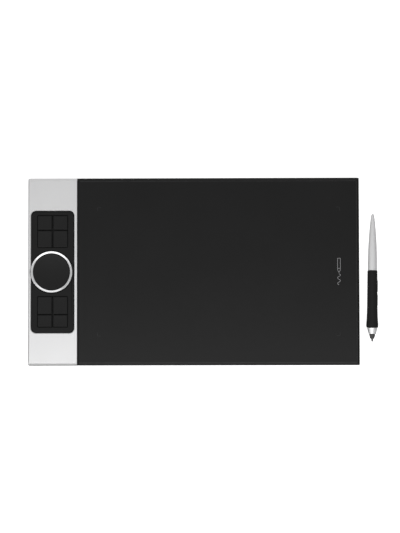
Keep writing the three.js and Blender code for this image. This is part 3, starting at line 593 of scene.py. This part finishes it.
def stadium_bar(width, height, z0, z1, ease=0.0):
    """Stack of a plug-shaped outline, with its last edge eased."""
    def outline(inset):
        return rectangle(-width / 2 + inset, -height / 2 + inset, width / 2 - inset,
                         height / 2 - inset, height / 2 - inset - 0.01, 8)

    return [(z0, outline(0)), (z1 - ease, outline(0)), (z1, outline(ease))]


def along_x(x, y, z):
    """Turns a solid built up Z so that it points along -X, from a point."""
    return Matrix.Translation((x, y, z)) @ Matrix.Rotation(-math.pi / 2, 4, "Y")


def make_tray():
    """The back cover: a shallow tray with ribs, posts, and pits for feet and screws."""
    edge = eased([(FLOOR_INSET + 1, TRAY_LOW.z), (FLOOR_INSET, TRAY_LOW.z), (0, SIDE_LOW),
                  (0, TRAY_HIGH.z - RIM_DROP), (RIM_WIDTH, TRAY_HIGH.z)], share=0.25, steps=4)
    outer = [(z, tablet_outline(inset)) for inset, z in edge]
    hollow = [(FLOOR_TOP, tablet_outline(FLOOR_INSET + HOLLOW_SLOPE)),
              (HOLLOW_LOW, tablet_outline(WALL)), (TRAY_HIGH.z, tablet_outline(WALL))]
    pits = []
    for node in FOOT_NODES:
        top = box_mm(node)[1].z + 0.05
        pits.append([(TRAY_LOW.z, stadium(node, 0.22)),
                     (TRAY_LOW.z + 0.08, stadium(node, FOOT_FIT)), (top, stadium(node, FOOT_FIT))])
    for node in COVER_SCREWS:
        at = centre_of(node)
        sides = [(TRAY_LOW.z + height, circle(radius, at.x, at.y)) for height, radius in SCREW_PIT]
        pits.append([*sides, (FLOOR_TOP - 0.1, circle(SCREW_HOLE, at.x, at.y))])
    shapes = [solid(outer, pits_above=[hollow], pits_below=pits)]
    sunk = FLOOR_TOP - ROOT
    left, right = LONG_RIBS_INSET
    for y in LONG_RIBS_Y:
        shapes.append(bar(TRAY_LOW.x + left, y, sunk, TRAY_HIGH.x - right, y + RIB_WIDTH, RIB_TOP))
    for offset in CROSS_RIBS_X:
        x = TRAY_LOW.x + offset
        shapes.append(bar(x, -CROSS_RIBS_REACH, sunk, x + RIB_WIDTH, CROSS_RIBS_REACH, RIB_TOP))
    for node in BOARD_SCREWS:
        at = centre_of(node)
        post = eased([(POST_BORE, sunk), (POST_RADIUS, sunk), (POST_RADIUS, POST_TOP),
                      (POST_BORE, POST_TOP)], 0.1)
        shapes.append(turned(post, 48, closed=True, x=at.x, y=at.y))
    usb = centre_of("usb_shell")
    mouth = moved(solid(stadium_bar(*USB_MOUTH, -2, 4)), along_x(TRAY_LOW.x + 2, usb.y, usb.z))
    piece("tray", shapes, COVER, stands_for=["back_cover"], cutters=[mouth])


def make_feet():
    """Plug-shaped pads, with their lower edge rounded."""
    for node in FOOT_NODES:
        top = box_mm(node)[1].z
        edge = eased([(-1.5, 0), (-0.35, 0), (0, 0.4), (0, top)], share=0.35, steps=3)
        piece(f"{node}_pad", [solid([(z, stadium(node, grow)) for grow, z in edge])], FOOT,
              stands_for=[node])


def cross(size, width, x, y):
    """The outline of a cross-head recess."""
    quarter = [(size, -width), (size, width), (width, width)]
    points = []
    for turn in range(4):
        c, s = ((1, 0), (0, 1), (-1, 0), (0, -1))[turn]
        points.extend((x + px * c - py * s, y + px * s + py * c) for px, py in quarter)
    return points


SCREW_HEAD, SCREW_SHANK, SCREW_END = 2.6, 1.15, 1.05     # radii
CROSS_DEPTH = 0.9


def make_cover_screws():
    """Countersunk screws that come up from below."""
    for node in COVER_SCREWS:
        low, high = box_mm(node)
        at = (low + high) / 2
        side = eased([(SCREW_HEAD - 0.3, low.z), (SCREW_HEAD, low.z), (SCREW_HEAD, low.z + 0.12),
                      (SCREW_SHANK, FLOOR_TOP), (SCREW_END, high.z)], share=0.2)
        outer = [(z, circle(radius, at.x, at.y)) for radius, z in side]
        recess = [(low.z, cross(1.55, 0.34, at.x, at.y)),
                  (low.z + CROSS_DEPTH, cross(0.9, 0.22, at.x, at.y))]
        piece(f"{node}_cross_head", [solid(outer, pits_below=[recess])], STEEL,
              stands_for=[node])


# ---------------------------------------------------------------- deck and work surface

def plate_levels(low, high, bevels):
    """Stack of a plate whose top bevel is as wide as bevels say: left, front, right, rear."""
    left, front, right, rear = bevels
    chain = eased([(0.15, low.z), (0, low.z + 0.08), (0, low.z + PLATE_EDGE), (1, high.z),
                   (1.6, high.z)], share=0.2, steps=4)
    return [(z, rectangle(low.x + left * t, low.y + front * t, high.x - right * t,
                          high.y - rear * t, CORNER)) for t, z in chain]


def opening_outline(grow):
    """The deck's opening for the panel, with its bulge where the dial passes the left side."""
    left = PANEL_CENTRE.x - OPENING_X - grow
    x1 = PANEL_CENTRE.x + OPENING_X + grow
    y1 = OPENING_Y + grow
    radius = PANEL_CORNER + grow
    bulge = DIAL_HOLE + grow
    reach = math.degrees(math.acos((DIAL_CENTRE.x - left) / bulge))
    frame_points = rectangle(left, -y1, x1, y1, radius, 12)
    half = len(frame_points) // 2
    side = arc(DIAL_CENTRE.x, 0, bulge, 180 - reach, 180 + reach, 12)
    return [*frame_points[:half], *side, *frame_points[half:]]


OPENING_CHAMFER = (0.75, 0.5)    # width and drop


def make_deck():
    """The silver plate, with a chamfer round its opening for the panel."""
    width, drop = OPENING_CHAMFER
    past_top = (width + 0.25, DECK_HIGH.z + 0.0001)      # only eases the chamfer's upper edge
    chamfer = eased([(0, DECK_LOW.z), (0, DECK_HIGH.z - drop), (width, DECK_HIGH.z), past_top],
                    share=0.2, steps=3)
    opening = [(min(z, DECK_HIGH.z), opening_outline(grow)) for grow, z in chamfer[:-1]]
    piece("deck", [solid(plate_levels(DECK_LOW, DECK_HIGH, DECK_BEVEL), through=[opening])],
          DECK, stands_for=["control_deck"])


def make_work_surface():
    piece("drawing_plate", [solid(plate_levels(SHEET_LOW, SHEET_HIGH, SHEET_BEVEL))],
          PLATE, stands_for=["work_surface"])


FILM_INSET = (1.7, 2.9, 2.65, 3.35)      # from the plate's edge: left, front, right, rear
FILM_HEIGHT = 0.06
FILM_ROOT = 0.05                 # how deep film and print start in what is under them
HIGHLIGHT_STRIP = 0.12                  # width of the pale strip painted as a highlight along the film's cut edge
PRINT_HEIGHT = FILM_HEIGHT + 0.03


def make_film():
    """The textured film on the plate, and a pale strip at its front, right and rear cut edges: a
    painted highlight of the crease there.
    """
    left, front, right, rear = FILM_INSET
    x0, y0 = SHEET_LOW.x + left, SHEET_LOW.y + front
    x1, y1 = SHEET_HIGH.x - right, SHEET_HIGH.y - rear
    bottom, top = SHEET_HIGH.z - FILM_ROOT, SHEET_HIGH.z + FILM_HEIGHT
    film = rectangle(x0, y0 + HIGHLIGHT_STRIP, x1 - HIGHLIGHT_STRIP, y1 - HIGHLIGHT_STRIP, 0.4)
    piece("drawing_film", [solid([(bottom, film), (top, film)])], SHEET)
    edge = [(x0, y0), (x1, y0), (x1, y1), (x0, y1), (x0, y1 - HIGHLIGHT_STRIP),
            (x1 - HIGHLIGHT_STRIP, y1 - HIGHLIGHT_STRIP), (x1 - HIGHLIGHT_STRIP, y0 + HIGHLIGHT_STRIP), (x0, y0 + HIGHLIGHT_STRIP)]
    # The pale strip along the film's front, right and rear edges is a painted highlight of its
    # crease.
    piece("drawing_film_painted_highlight", [solid([(bottom, edge), (top - 0.005, edge)])], FILM_EDGE_HIGHLIGHT)


def printed(name, outlines, finish):
    """Flat print on the work surface."""
    top = SHEET_HIGH.z + PRINT_HEIGHT
    shapes = [solid([(top - FILM_ROOT, outline), (top, outline)]) for outline in outlines]
    piece(name, shapes, finish)


def stroke(points, width):
    """The outline of a line of even width through points."""
    left, right = [], []
    chain = [Vector(p) for p in points]
    for i, at in enumerate(chain):
        along = (chain[min(i + 1, len(chain) - 1)] - chain[max(i - 1, 0)]).normalized()
        across = Vector((-along.y, along.x)) * width / 2
        left.append(tuple(at + across))
        right.append(tuple(at - across))
    return left + right[::-1]


def make_corner_marks():
    """Small angles at the corners of the area that senses the pen."""
    middle = (SHEET_LOW + SHEET_HIGH) / 2
    reach_x, reach_y, arm, width = 131.0, 69.6, 4.0, 0.35
    outlines = []
    for side in (-1, 1):
        for end in (-1, 1):
            x = middle.x + side * reach_x
            y = middle.y + end * reach_y
            outlines.append([(x, y), (x, y - end * width), (x - side * arm, y - end * width),
                             (x - side * arm, y)])
            outlines.append([(x, y), (x, y - end * arm), (x - side * width, y - end * arm),
                             (x - side * width, y)])
    printed("corner_marks", outlines, FAINT_INK)


def make_pictogram():
    """A generic mark: a plain pen drawing a wave, running up the right side of the sheet."""
    x = SHEET_HIGH.x - 22.0
    pen_back, pen_front, pen_half, line = 14.0, -1.5, 1.5, 0.45
    shoulder = pen_front + 3
    band_y = pen_front + 4.6
    wave_start, wave_half, wave_steps, wave_step = pen_front - 1.2, 1.6, 25, 0.5
    body = [(x - pen_half, shoulder), (x - pen_half, pen_back), (x + pen_half, pen_back),
            (x + pen_half, shoulder), (x, pen_front), (x - pen_half, shoulder)]
    sides = [stroke([a, b], line) for a, b in zip(body, body[1:])]
    band = stroke([(x - pen_half, band_y), (x + pen_half, band_y)], line)
    wave = [(x + wave_half * math.sin(step * math.pi / 6), wave_start - step * wave_step)
            for step in range(wave_steps)]
    printed("pen_pictogram", [*sides, band, stroke(wave, line)], INK)


# ---------------------------------------------------------------- key panel and keys

KEY_NODES = [f"key_{i + 1}" for i in range(8)]
KEY_GROUPS = (KEY_NODES[:4], KEY_NODES[4:])      # rear and front
PANEL_TOP = PANEL_HIGH.z
FLANGE_HEIGHT = 0.4


def field_box(nodes):
    """Corners of a group of keys, without their hidden outer lips."""
    lows, highs = zip(*(box_mm(node) for node in nodes))
    reach = Vector((KEY_LIP, KEY_LIP))
    low = Vector((min(v.x for v in lows), min(v.y for v in lows))) + reach
    high = Vector((max(v.x for v in highs), max(v.y for v in highs))) - reach
    return low, high


def key_cap_box(node):
    """Corners of a key's cap, without its hidden lips."""
    low, high = box_mm(node)
    middle = (low + high) / 2
    field_low, field_high = field_box(next(group for group in KEY_GROUPS if node in group))
    field = (field_low + field_high) / 2
    for axis in (0, 1):
        inner = KEY_GAP[axis] / 2 - KEY_LIP_FIT
        outer_is_low = middle[axis] < field[axis]
        low[axis] += KEY_LIP if outer_is_low else inner
        high[axis] -= inner if outer_is_low else KEY_LIP
    return low, high


def panel_outline(inset, dial_inset):
    """The panel's outline, drawn in at its sides and, by another amount, round the dial."""
    left = PANEL_CENTRE.x - OPENING_X + PANEL_FIT + inset
    x1 = PANEL_CENTRE.x + OPENING_X - PANEL_FIT - inset
    y1 = OPENING_Y - PANEL_FIT - inset
    frame_points = rectangle(left, -y1, x1, y1, PANEL_CORNER - PANEL_FIT - inset, 12)
    radius = PANEL_DIAL_HOLE + dial_inset
    reach = math.degrees(math.acos((DIAL_CENTRE.x - left) / radius))
    round_dial = arc(DIAL_CENTRE.x, 0, radius, 180 - reach, -180 + reach, 96)
    half = len(frame_points) // 2
    return [*frame_points[:half], *round_dial, *frame_points[half:]]


def make_panel():
    """The panel: softly rounded sides, a flange under the deck and a field for each key group."""
    flange = PANEL_FIT + PANEL_FLANGE
    flange_top = PANEL_LOW.z + FLANGE_HEIGHT
    edge = eased([(0.15, flange_top), (0.15, PANEL_TOP - 1.1), (0.4, PANEL_TOP - 0.5),
                  (0.9, PANEL_TOP - 0.2), (2.2, PANEL_TOP), (2.7, PANEL_TOP)], share=0.3, steps=4)
    outer = [(PANEL_LOW.z, panel_outline(-flange, 0)), (flange_top, panel_outline(-flange, 0)),
             *[(z, panel_outline(inset, inset * 0.25)) for inset, z in edge]]
    fields = []
    rim = eased([(0, PANEL_LOW.z), (0, PANEL_TOP - 0.3), (0.3, PANEL_TOP)], share=0.3)
    for low, high in map(field_box, KEY_GROUPS):
        def field(grow):
            reach = KEY_CLEARANCE + grow
            return rectangle(low.x - reach, low.y - reach, high.x + reach, high.y + reach,
                             1.2 + grow, 6)

        fields.append([(z, field(grow)) for grow, z in rim])
    piece("panel", [solid(outer, through=fields)], PANEL,
          stands_for=["key_panel"])


CAP_BOTTOM = 5.2                 # height of a key cap's lower edge
LIP_TOP = 5.9
STEM_RADIUS = 1.5
DISH_START = 1.5                 # from the cap's side to where its dish begins
DISH_DEPTH = 0.16
DISH_RIM = 0.01                  # from the cap's highest line down to the dish's rim
DISH_STEPS = 8


def make_key(node):
    """A key: a cap with eased edges and a shallow dish, hidden lips and a stem."""
    low, high = key_cap_box(node)
    full_low, full_high = box_mm(node)
    rim = high.z - DISH_RIM

    def level(inset, z):
        corner = max(1.0 - inset * 0.12, 0.3)
        return z, rectangle(low.x + inset, low.y + inset, high.x - inset, high.y - inset,
                            corner, 6)

    shoulder = eased([(0, CAP_BOTTOM), (0, high.z - 0.65), (0.35, high.z - 0.22), (1.0, high.z),
                      (DISH_START, rim)], share=0.4, steps=4)
    levels = [level(inset, z) for inset, z in shoulder]
    deepest = min(high.x - low.x, high.y - low.y) / 2 - 0.4
    for step in range(1, DISH_STEPS + 1):
        t = step / DISH_STEPS
        levels.append(level(DISH_START + (deepest - DISH_START) * t,
                            rim - DISH_DEPTH * math.sin(t * math.pi / 2)))
    lips = bar(full_low.x, full_low.y, CAP_BOTTOM, full_high.x, full_high.y, LIP_TOP)
    middle = (low + high) / 2
    stem_top = CAP_BOTTOM + 0.1
    stem_side = [(0, full_low.z), (STEM_RADIUS, full_low.z), (STEM_RADIUS, stem_top),
                 (0, stem_top)]
    stem = turned(eased(stem_side, 0.1), 32, x=middle.x, y=middle.y)
    piece(f"{node}_cap", [solid(levels), lips, stem], KEY, body=node,
          stands_for=[node])


DOME_RADIUS = 3.2
DOME_HEIGHT = 0.5
DOME_LIFT = 0.01                 # gap between a dome's rim and its film


def make_domes(sheet_node, keys):
    """One sheet of snap domes: a flat film, and under each key a dome."""
    low, high = box_mm(sheet_node)
    film_top = high.z - DOME_HEIGHT
    # The film is dark to paint the shade seen in the gaps between the keys.
    piece(f"{sheet_node}_film", [bar(low.x, low.y, low.z, high.x, high.y, film_top, 1.0)],
          DOME_FILM_SHADE, stands_for=[sheet_node])
    rim = film_top + DOME_LIFT
    side = eased([(DOME_RADIUS, rim), (DOME_RADIUS, rim + 0.05),
                  (0.75 * DOME_RADIUS, rim + 0.5 * DOME_HEIGHT),
                  (0.4 * DOME_RADIUS, rim + 0.9 * DOME_HEIGHT), (0, rim + 0.98 * DOME_HEIGHT)])
    for key_node in keys:
        cap_low, cap_high = key_cap_box(key_node)
        middle = (cap_low + cap_high) / 2
        dome = piece(f"{key_node}_dome", [turned([(0, rim), *side], 48, x=middle.x, y=middle.y)],
                     STEEL)
        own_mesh(dome)


# ---------------------------------------------------------------- dial

def make_dial_ring():
    """The ring: upright outside, highest near its outer edge, and sloping down to its bore."""
    low, high = RING_LOW.z, RING_HIGH.z
    crest = DIAL_RADIUS - 0.65
    profile = [(DIAL_BORE, low), (DIAL_RADIUS - 0.1, low), (DIAL_RADIUS, low + 0.1),
               (DIAL_RADIUS, high - 0.5), (crest + 0.25, high - 0.02), (crest, high),
               (crest - 0.25, high - 0.04), (DIAL_BORE + 0.8, high - 0.42),
               (DIAL_BORE + 0.2, high - 0.66), (DIAL_BORE, high - 0.9), (DIAL_BORE, low)]
    piece("ring", [turned(eased(profile, 0.3, 4), 192, x=DIAL_CENTRE.x, y=0)], RING,
          body="dial", stands_for=["dial_ring"])


SPIGOT_RADIUS, SPIGOT_HEIGHT = 18.7, 0.4
TOUCH_EDGE = 0.4                 # width and drop of the disc's eased edge
TOUCH_DISH = 0.7                 # depth of its hollow
TOUCH_STEPS = 14


def make_touch_disc():
    """The touch disc: a spigot below, an eased edge and a hollow that a fingertip finds."""
    low, high = DISC_LOW.z, DISC_HIGH.z
    rim = DISC_RADIUS
    spigot_top = low + SPIGOT_HEIGHT
    profile = [(0, low), (SPIGOT_RADIUS, low), (SPIGOT_RADIUS, spigot_top), (rim, spigot_top),
               (rim, high - TOUCH_EDGE), (rim - TOUCH_EDGE, high)]
    hollow = []
    for step in range(TOUCH_STEPS + 1):
        radius = (rim - 0.7) * (1 - step / TOUCH_STEPS)
        hollow.append((radius, high - 0.01 - TOUCH_DISH * (1 - (radius / rim) ** 2)))
    piece("disc", [turned([*eased([*profile, hollow[0]], 0.35, 4), *hollow[1:]], 144,
                          x=DIAL_CENTRE.x, y=0)], TOUCH,
          stands_for=["touch_disc"])


# ---------------------------------------------------------------- USB socket

USB_OUTSIDE = (8.94, 3.2)        # width and height
USB_INSIDE = (8.34, 2.6)
USB_BACK = 0.6                   # thickness of the shell's closed end
USB_FLARE = 0.1                  # how much the mouth widens each way, over that length
CONTACTS, CONTACT_PITCH, CONTACT_WIDTH, CONTACT_RELIEF = 12, 0.5, 0.26, 0.02
CONTACT_SPAN = (0.6, 4.6)        # from the tongue's tip


def make_usb():
    """The socket: a metal shell with a flared mouth, and a tongue with contacts on both sides."""
    low, high = box_mm("usb_shell")
    middle = (low + high) / 2
    depth = high.x - low.x
    outward_x = Matrix.Translation((high.x, middle.y, middle.z)) \
        @ Matrix.Rotation(-math.pi / 2, 4, "Y") @ Matrix.Rotation(math.pi / 2, 4, "Z")
    inside_width, inside_height = USB_INSIDE
    mouth = stadium_bar(inside_width + 2 * USB_FLARE, inside_height + 2 * USB_FLARE, 0, depth)[-1]
    inner = stadium_bar(*USB_INSIDE, USB_BACK, depth)[:-1]
    inner.extend([(depth - USB_FLARE, inner[0][1]), mouth])
    shell = solid(stadium_bar(*USB_OUTSIDE, 0, depth, 0.08), pits_above=[inner])
    piece("usb_metal_shell", [shell], TIN, stands_for=["usb_shell"],
          place=outward_x)
    tongue_low, tongue_high = box_mm("usb_tongue")
    blade = bar(tongue_low.x, tongue_low.y, tongue_low.z, tongue_high.x, tongue_high.y,
                tongue_high.z, 0.5)
    piece("usb_blade", [blade], FRAME_BLACK, stands_for=["usb_tongue"])
    contacts = []
    x0, x1 = (tongue_low.x + reach for reach in CONTACT_SPAN)
    half = CONTACT_WIDTH / 2
    for number in range(CONTACTS):
        y = middle.y + (number - (CONTACTS - 1) / 2) * CONTACT_PITCH
        for z in (tongue_high.z, tongue_low.z):
            contacts.append(bar(x0, y - half, z - CONTACT_RELIEF, x1, y + half,
                                z + CONTACT_RELIEF, 0.05))
    piece("usb_contacts", contacts, GOLD)


# ---------------------------------------------------------------- pen

PEN_BUTTONS = {"front": 44.8, "rear": 60.0}      # middles, from the tip
BUTTON_LENGTH = 13.0
BUTTON_WIDTH = 4.4
BUTTON_TOP = 5.7                 # from the pen's axis
BUTTON_FIT = 0.5                 # how much larger its window is
GRIP_FRONT = 15.0
GRIP_REAR = 76.7
TAIL_FRONT = 76.9
SLEEVE_BORE = 4.35               # inner radius of the grip and of the tail's open end


def on_pen(name, profile, finish, node, body="pen", cutters=(), steps=96):
    """A piece turned about the pen's axis, from [(distance from the tip, radius), ...]."""
    shape = turned([(radius, along) for along, radius in profile], steps, closed=profile[0][1] > 0)
    piece(name, [shape], finish, body=body, stands_for=[node], place=PEN_PLACE,
          cutters=cutters)


def side_stack(middle, length, width, radius, levels):
    """A rounded bar on the pen's +X side, from [(inset, distance from the axis), ...]."""
    stack = [(x, rectangle(-width / 2 + inset, -length / 2 + inset, width / 2 - inset,
                           length / 2 - inset, max(radius - inset, 0.1), 6))
             for inset, x in levels]
    upright = Matrix.Translation((0, 0, middle)) @ Matrix.Rotation(math.pi / 2, 4, "Y") \
        @ Matrix.Rotation(math.pi / 2, 4, "Z")
    return moved(solid(stack), upright)


def make_pen():
    """The pen's outside, from nib to tail, and its two side buttons in their windows."""
    nib_start, nib_end = NIB_STRAIGHT
    nib_point = eased([(0, 0), (0.02, 0.45), (0.5, 0.78), (nib_start, 1.0), (nib_end, 1.0)], 0.35)
    on_pen("nib", [*nib_point, (nib_end, 0)], NIB, "pen_nib", body="pen_nib",
           steps=48)
    on_pen("nose", eased([(3.0, 1.15), (3.0, 1.55), (3.9, 2.3), (8.1, 3.4), (8.1, 2.4),
                          (10.2, 2.4), (10.2, 1.15), (3.0, 1.15)], 0.12)[:-1], NOSE,
           "pen_collar")
    on_pen("cone", eased([(8.3, 2.6), (8.3, 3.85), (8.45, 4.0), (14.6, 5.46), (14.8, 5.4),
                          (14.8, 3.35), (18.2, 3.35), (18.2, 2.6), (8.3, 2.6)], 0.15)[:-1],
           PEN_CONE, "pen_cone")
    grip = [(GRIP_FRONT, SLEEVE_BORE), (GRIP_FRONT, 5.75), (15.3, 6.15), (16.2, 6.42), FLARE,
            (22.5, 6.12), (27.5, 5.85), (36, 5.62), (50, 5.5), (73.4, 5.36), (73.5, 5.22),
            (73.8, 5.22), (73.9, 5.36), HEEL, (GRIP_REAR, 5.05), (GRIP_REAR, SLEEVE_BORE),
            (GRIP_FRONT, SLEEVE_BORE)]
    windows = [side_stack(middle, BUTTON_LENGTH + BUTTON_FIT, BUTTON_WIDTH + BUTTON_FIT, 1.2,
                          [(0, 2), (0, 8)]) for middle in PEN_BUTTONS.values()]
    on_pen("grip", eased(grip, 0.3)[:-1], GRIP, "pen_grip", cutters=windows)
    tail = [(TAIL_FRONT, 4.9), (77.05, 5.02), (88, 4.92), (98.8, 4.72), (109.7, 4.15),
            (120.5, 3.38), (128, 2.68), (133.5, 2.0), (136.8, 1.5), (PEN_LENGTH, 0.75),
            (PEN_LENGTH, 0), (94, 0)]
    on_pen("tail", [(TAIL_FRONT, SLEEVE_BORE), *eased(tail, 0.3, 4)], PEN_TAIL,
           "pen_tail")
    crown = eased([(0, 2.8), (0, BUTTON_TOP - 0.45), (0.55, BUTTON_TOP),
                   (1.3, BUTTON_TOP - 0.04)], 0.4, 4)
    for end, middle in PEN_BUTTONS.items():
        cap = side_stack(middle, BUTTON_LENGTH, BUTTON_WIDTH, 1.4, crown)
        lug = side_stack(middle, BUTTON_LENGTH + 1.6, 3.2, 0.6, [(0, 2.4), (0, 2.9)])
        stem = side_stack(middle, 1.6, 1.6, 0.6, [(0, 2.1), (0, 2.9)])
        piece(f"side_button_{end}", [cap, lug, stem], KEY,
              body=f"pen_button_{end}", stands_for=[f"pen_button_{end}"], place=PEN_PLACE)


# ---------------------------------------------------------------- CAD nodes that stay

KEPT = {
    "front_frame": FRAME_BLACK, "dial_rotor": ACETAL, "dial_hub": FRAME_BLACK,
    "encoder_pinion": ACETAL, "encoder_body": FRAME_BLACK, "hub_screw": STEEL,
    "touch_board": BOARD, "sensor_board": BOARD, "main_board": BOARD, "shield_plate": TIN,
    "processor_shield": TIN, "ribbon_cable": FILM, "ribbon_connector": ACETAL,
    "pen_chassis": FRAME_BLACK, "pen_ferrite": FERRITE, "pen_coil": COPPER,
    "pen_force_sensor": TIN, "pen_board": BOARD, "pen_switch_front": TIN,
    "pen_switch_rear": TIN,
    **{node: STEEL for node in BOARD_SCREWS},
}


def dress_kept_nodes():
    """Gives each CAD node that stays visible its material."""
    for node, finish in KEPT.items():
        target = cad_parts[node]
        if not target.material_slots:
            target.data.materials.append(finish)
        for material_slot in target.material_slots:
            material_slot.link = "OBJECT"
            material_slot.material = finish


# ---------------------------------------------------------------- stage, light and camera

def make_stage():
    """A wide floor just under the feet, which the object doesn't mirror."""
    half, z = 20000, -0.2
    corners = [(-half, -half, z), (half, -half, z), (half, half, z), (-half, half, z)]
    floor = mesh_object("floor", [(corners, [(0, 1, 2, 3)])])
    floor.data.materials.append(paper_white())
    floor.visible_glossy = False


def softbox(name, position, target, width, height, radiance):
    """An area light of that size in metres and brightness, aimed at a point."""
    data = bpy.data.lights.new(name, "AREA")
    data.shape = "RECTANGLE"
    data.size = width
    data.size_y = height
    data.energy = radiance * math.pi * width * height
    light = bpy.data.objects.new(name, data)
    light.location = position
    light.rotation_euler = (Vector(target) - Vector(position)).to_track_quat("-Z", "Y").to_euler()
    light.visible_camera = False
    bpy.context.scene.collection.objects.link(light)


def make_lights():
    """A studio sky that is brightest overhead, and four softboxes."""
    world = bpy.data.worlds.new("studio")
    world.use_nodes = True
    nodes, links = world.node_tree.nodes, world.node_tree.links
    background = nodes["Background"]
    background.inputs["Color"].default_value = (1, 1, 1, 1)
    direction = nodes.new("ShaderNodeTexCoord").outputs["Generated"]
    parts = nodes.new("ShaderNodeSeparateXYZ")
    links.new(direction, parts.inputs[0])
    fade = nodes.new("ShaderNodeMapRange")
    fade.interpolation_type = "SMOOTHSTEP"
    for socket, value in (("From Min", 0.1), ("From Max", 0.85), ("To Min", 0.2), ("To Max", 0.57)):
        fade.inputs[socket].default_value = value
    links.new(parts.outputs["Z"], fade.inputs["Value"])
    links.new(fade.outputs["Result"], background.inputs["Strength"])
    bpy.context.scene.world = world
    softbox("key", (-0.45, -1.04, 1.7), (-0.45, -1.04, 0), 2.4, 1.7, 1.30)
    softbox("rear fill", (0, 1.4, 1.5), (0, 0, 0), 2.4, 0.7, 0.6)
    softbox("left fill", (-1.9, 0, 0.7), (0, 0, 0), 2.4, 0.8, 0.75)
    softbox("right fill", (1.9, 0, 1.3), (0, 0, 0), 2.4, 0.8, 0.12)


def make_camera():
    """A view from above, a little from the front and the right."""
    height_seen = 0.5758         # along the picture's long side, level with the tablet's top
    distance = 1.6
    target = Vector((-0.00334, 0.00543, SHEET_HIGH.z * MM))
    from_right = math.radians(0.57)
    from_front = math.radians(2.08)
    roll = math.radians(-0.116)
    away = Vector((math.sin(from_right), -math.sin(from_front), 0))
    away.z = math.sqrt(1 - away.length_squared)
    across = Vector((0, 1, 0)).cross(away).normalized()
    up = away.cross(across)
    right = across * math.cos(roll) + up * math.sin(roll)
    up = away.cross(right)
    data = bpy.data.cameras.new("camera")
    data.sensor_width = 36
    data.lens = data.sensor_width * distance / height_seen
    camera = bpy.data.objects.new("camera", data)
    place = target + away * distance
    camera.matrix_world = Matrix((
        (right.x, up.x, away.x, place.x), (right.y, up.y, away.y, place.y),
        (right.z, up.z, away.z, place.z), (0, 0, 0, 1)))
    bpy.context.scene.collection.objects.link(camera)
    bpy.context.scene.camera = camera
    bpy.context.scene.view_settings.view_transform = "Standard"


make_camera()
make_stage()
make_lights()
make_tray()
make_feet()
make_cover_screws()
make_deck()
make_work_surface()
make_film()
make_corner_marks()
make_pictogram()
make_panel()
for key_node in KEY_NODES:
    make_key(key_node)
make_domes("dome_sheet_rear", KEY_GROUPS[0])
make_domes("dome_sheet_front", KEY_GROUPS[1])
make_dial_ring()
make_touch_disc()
make_usb()
make_pen()
dress_kept_nodes()
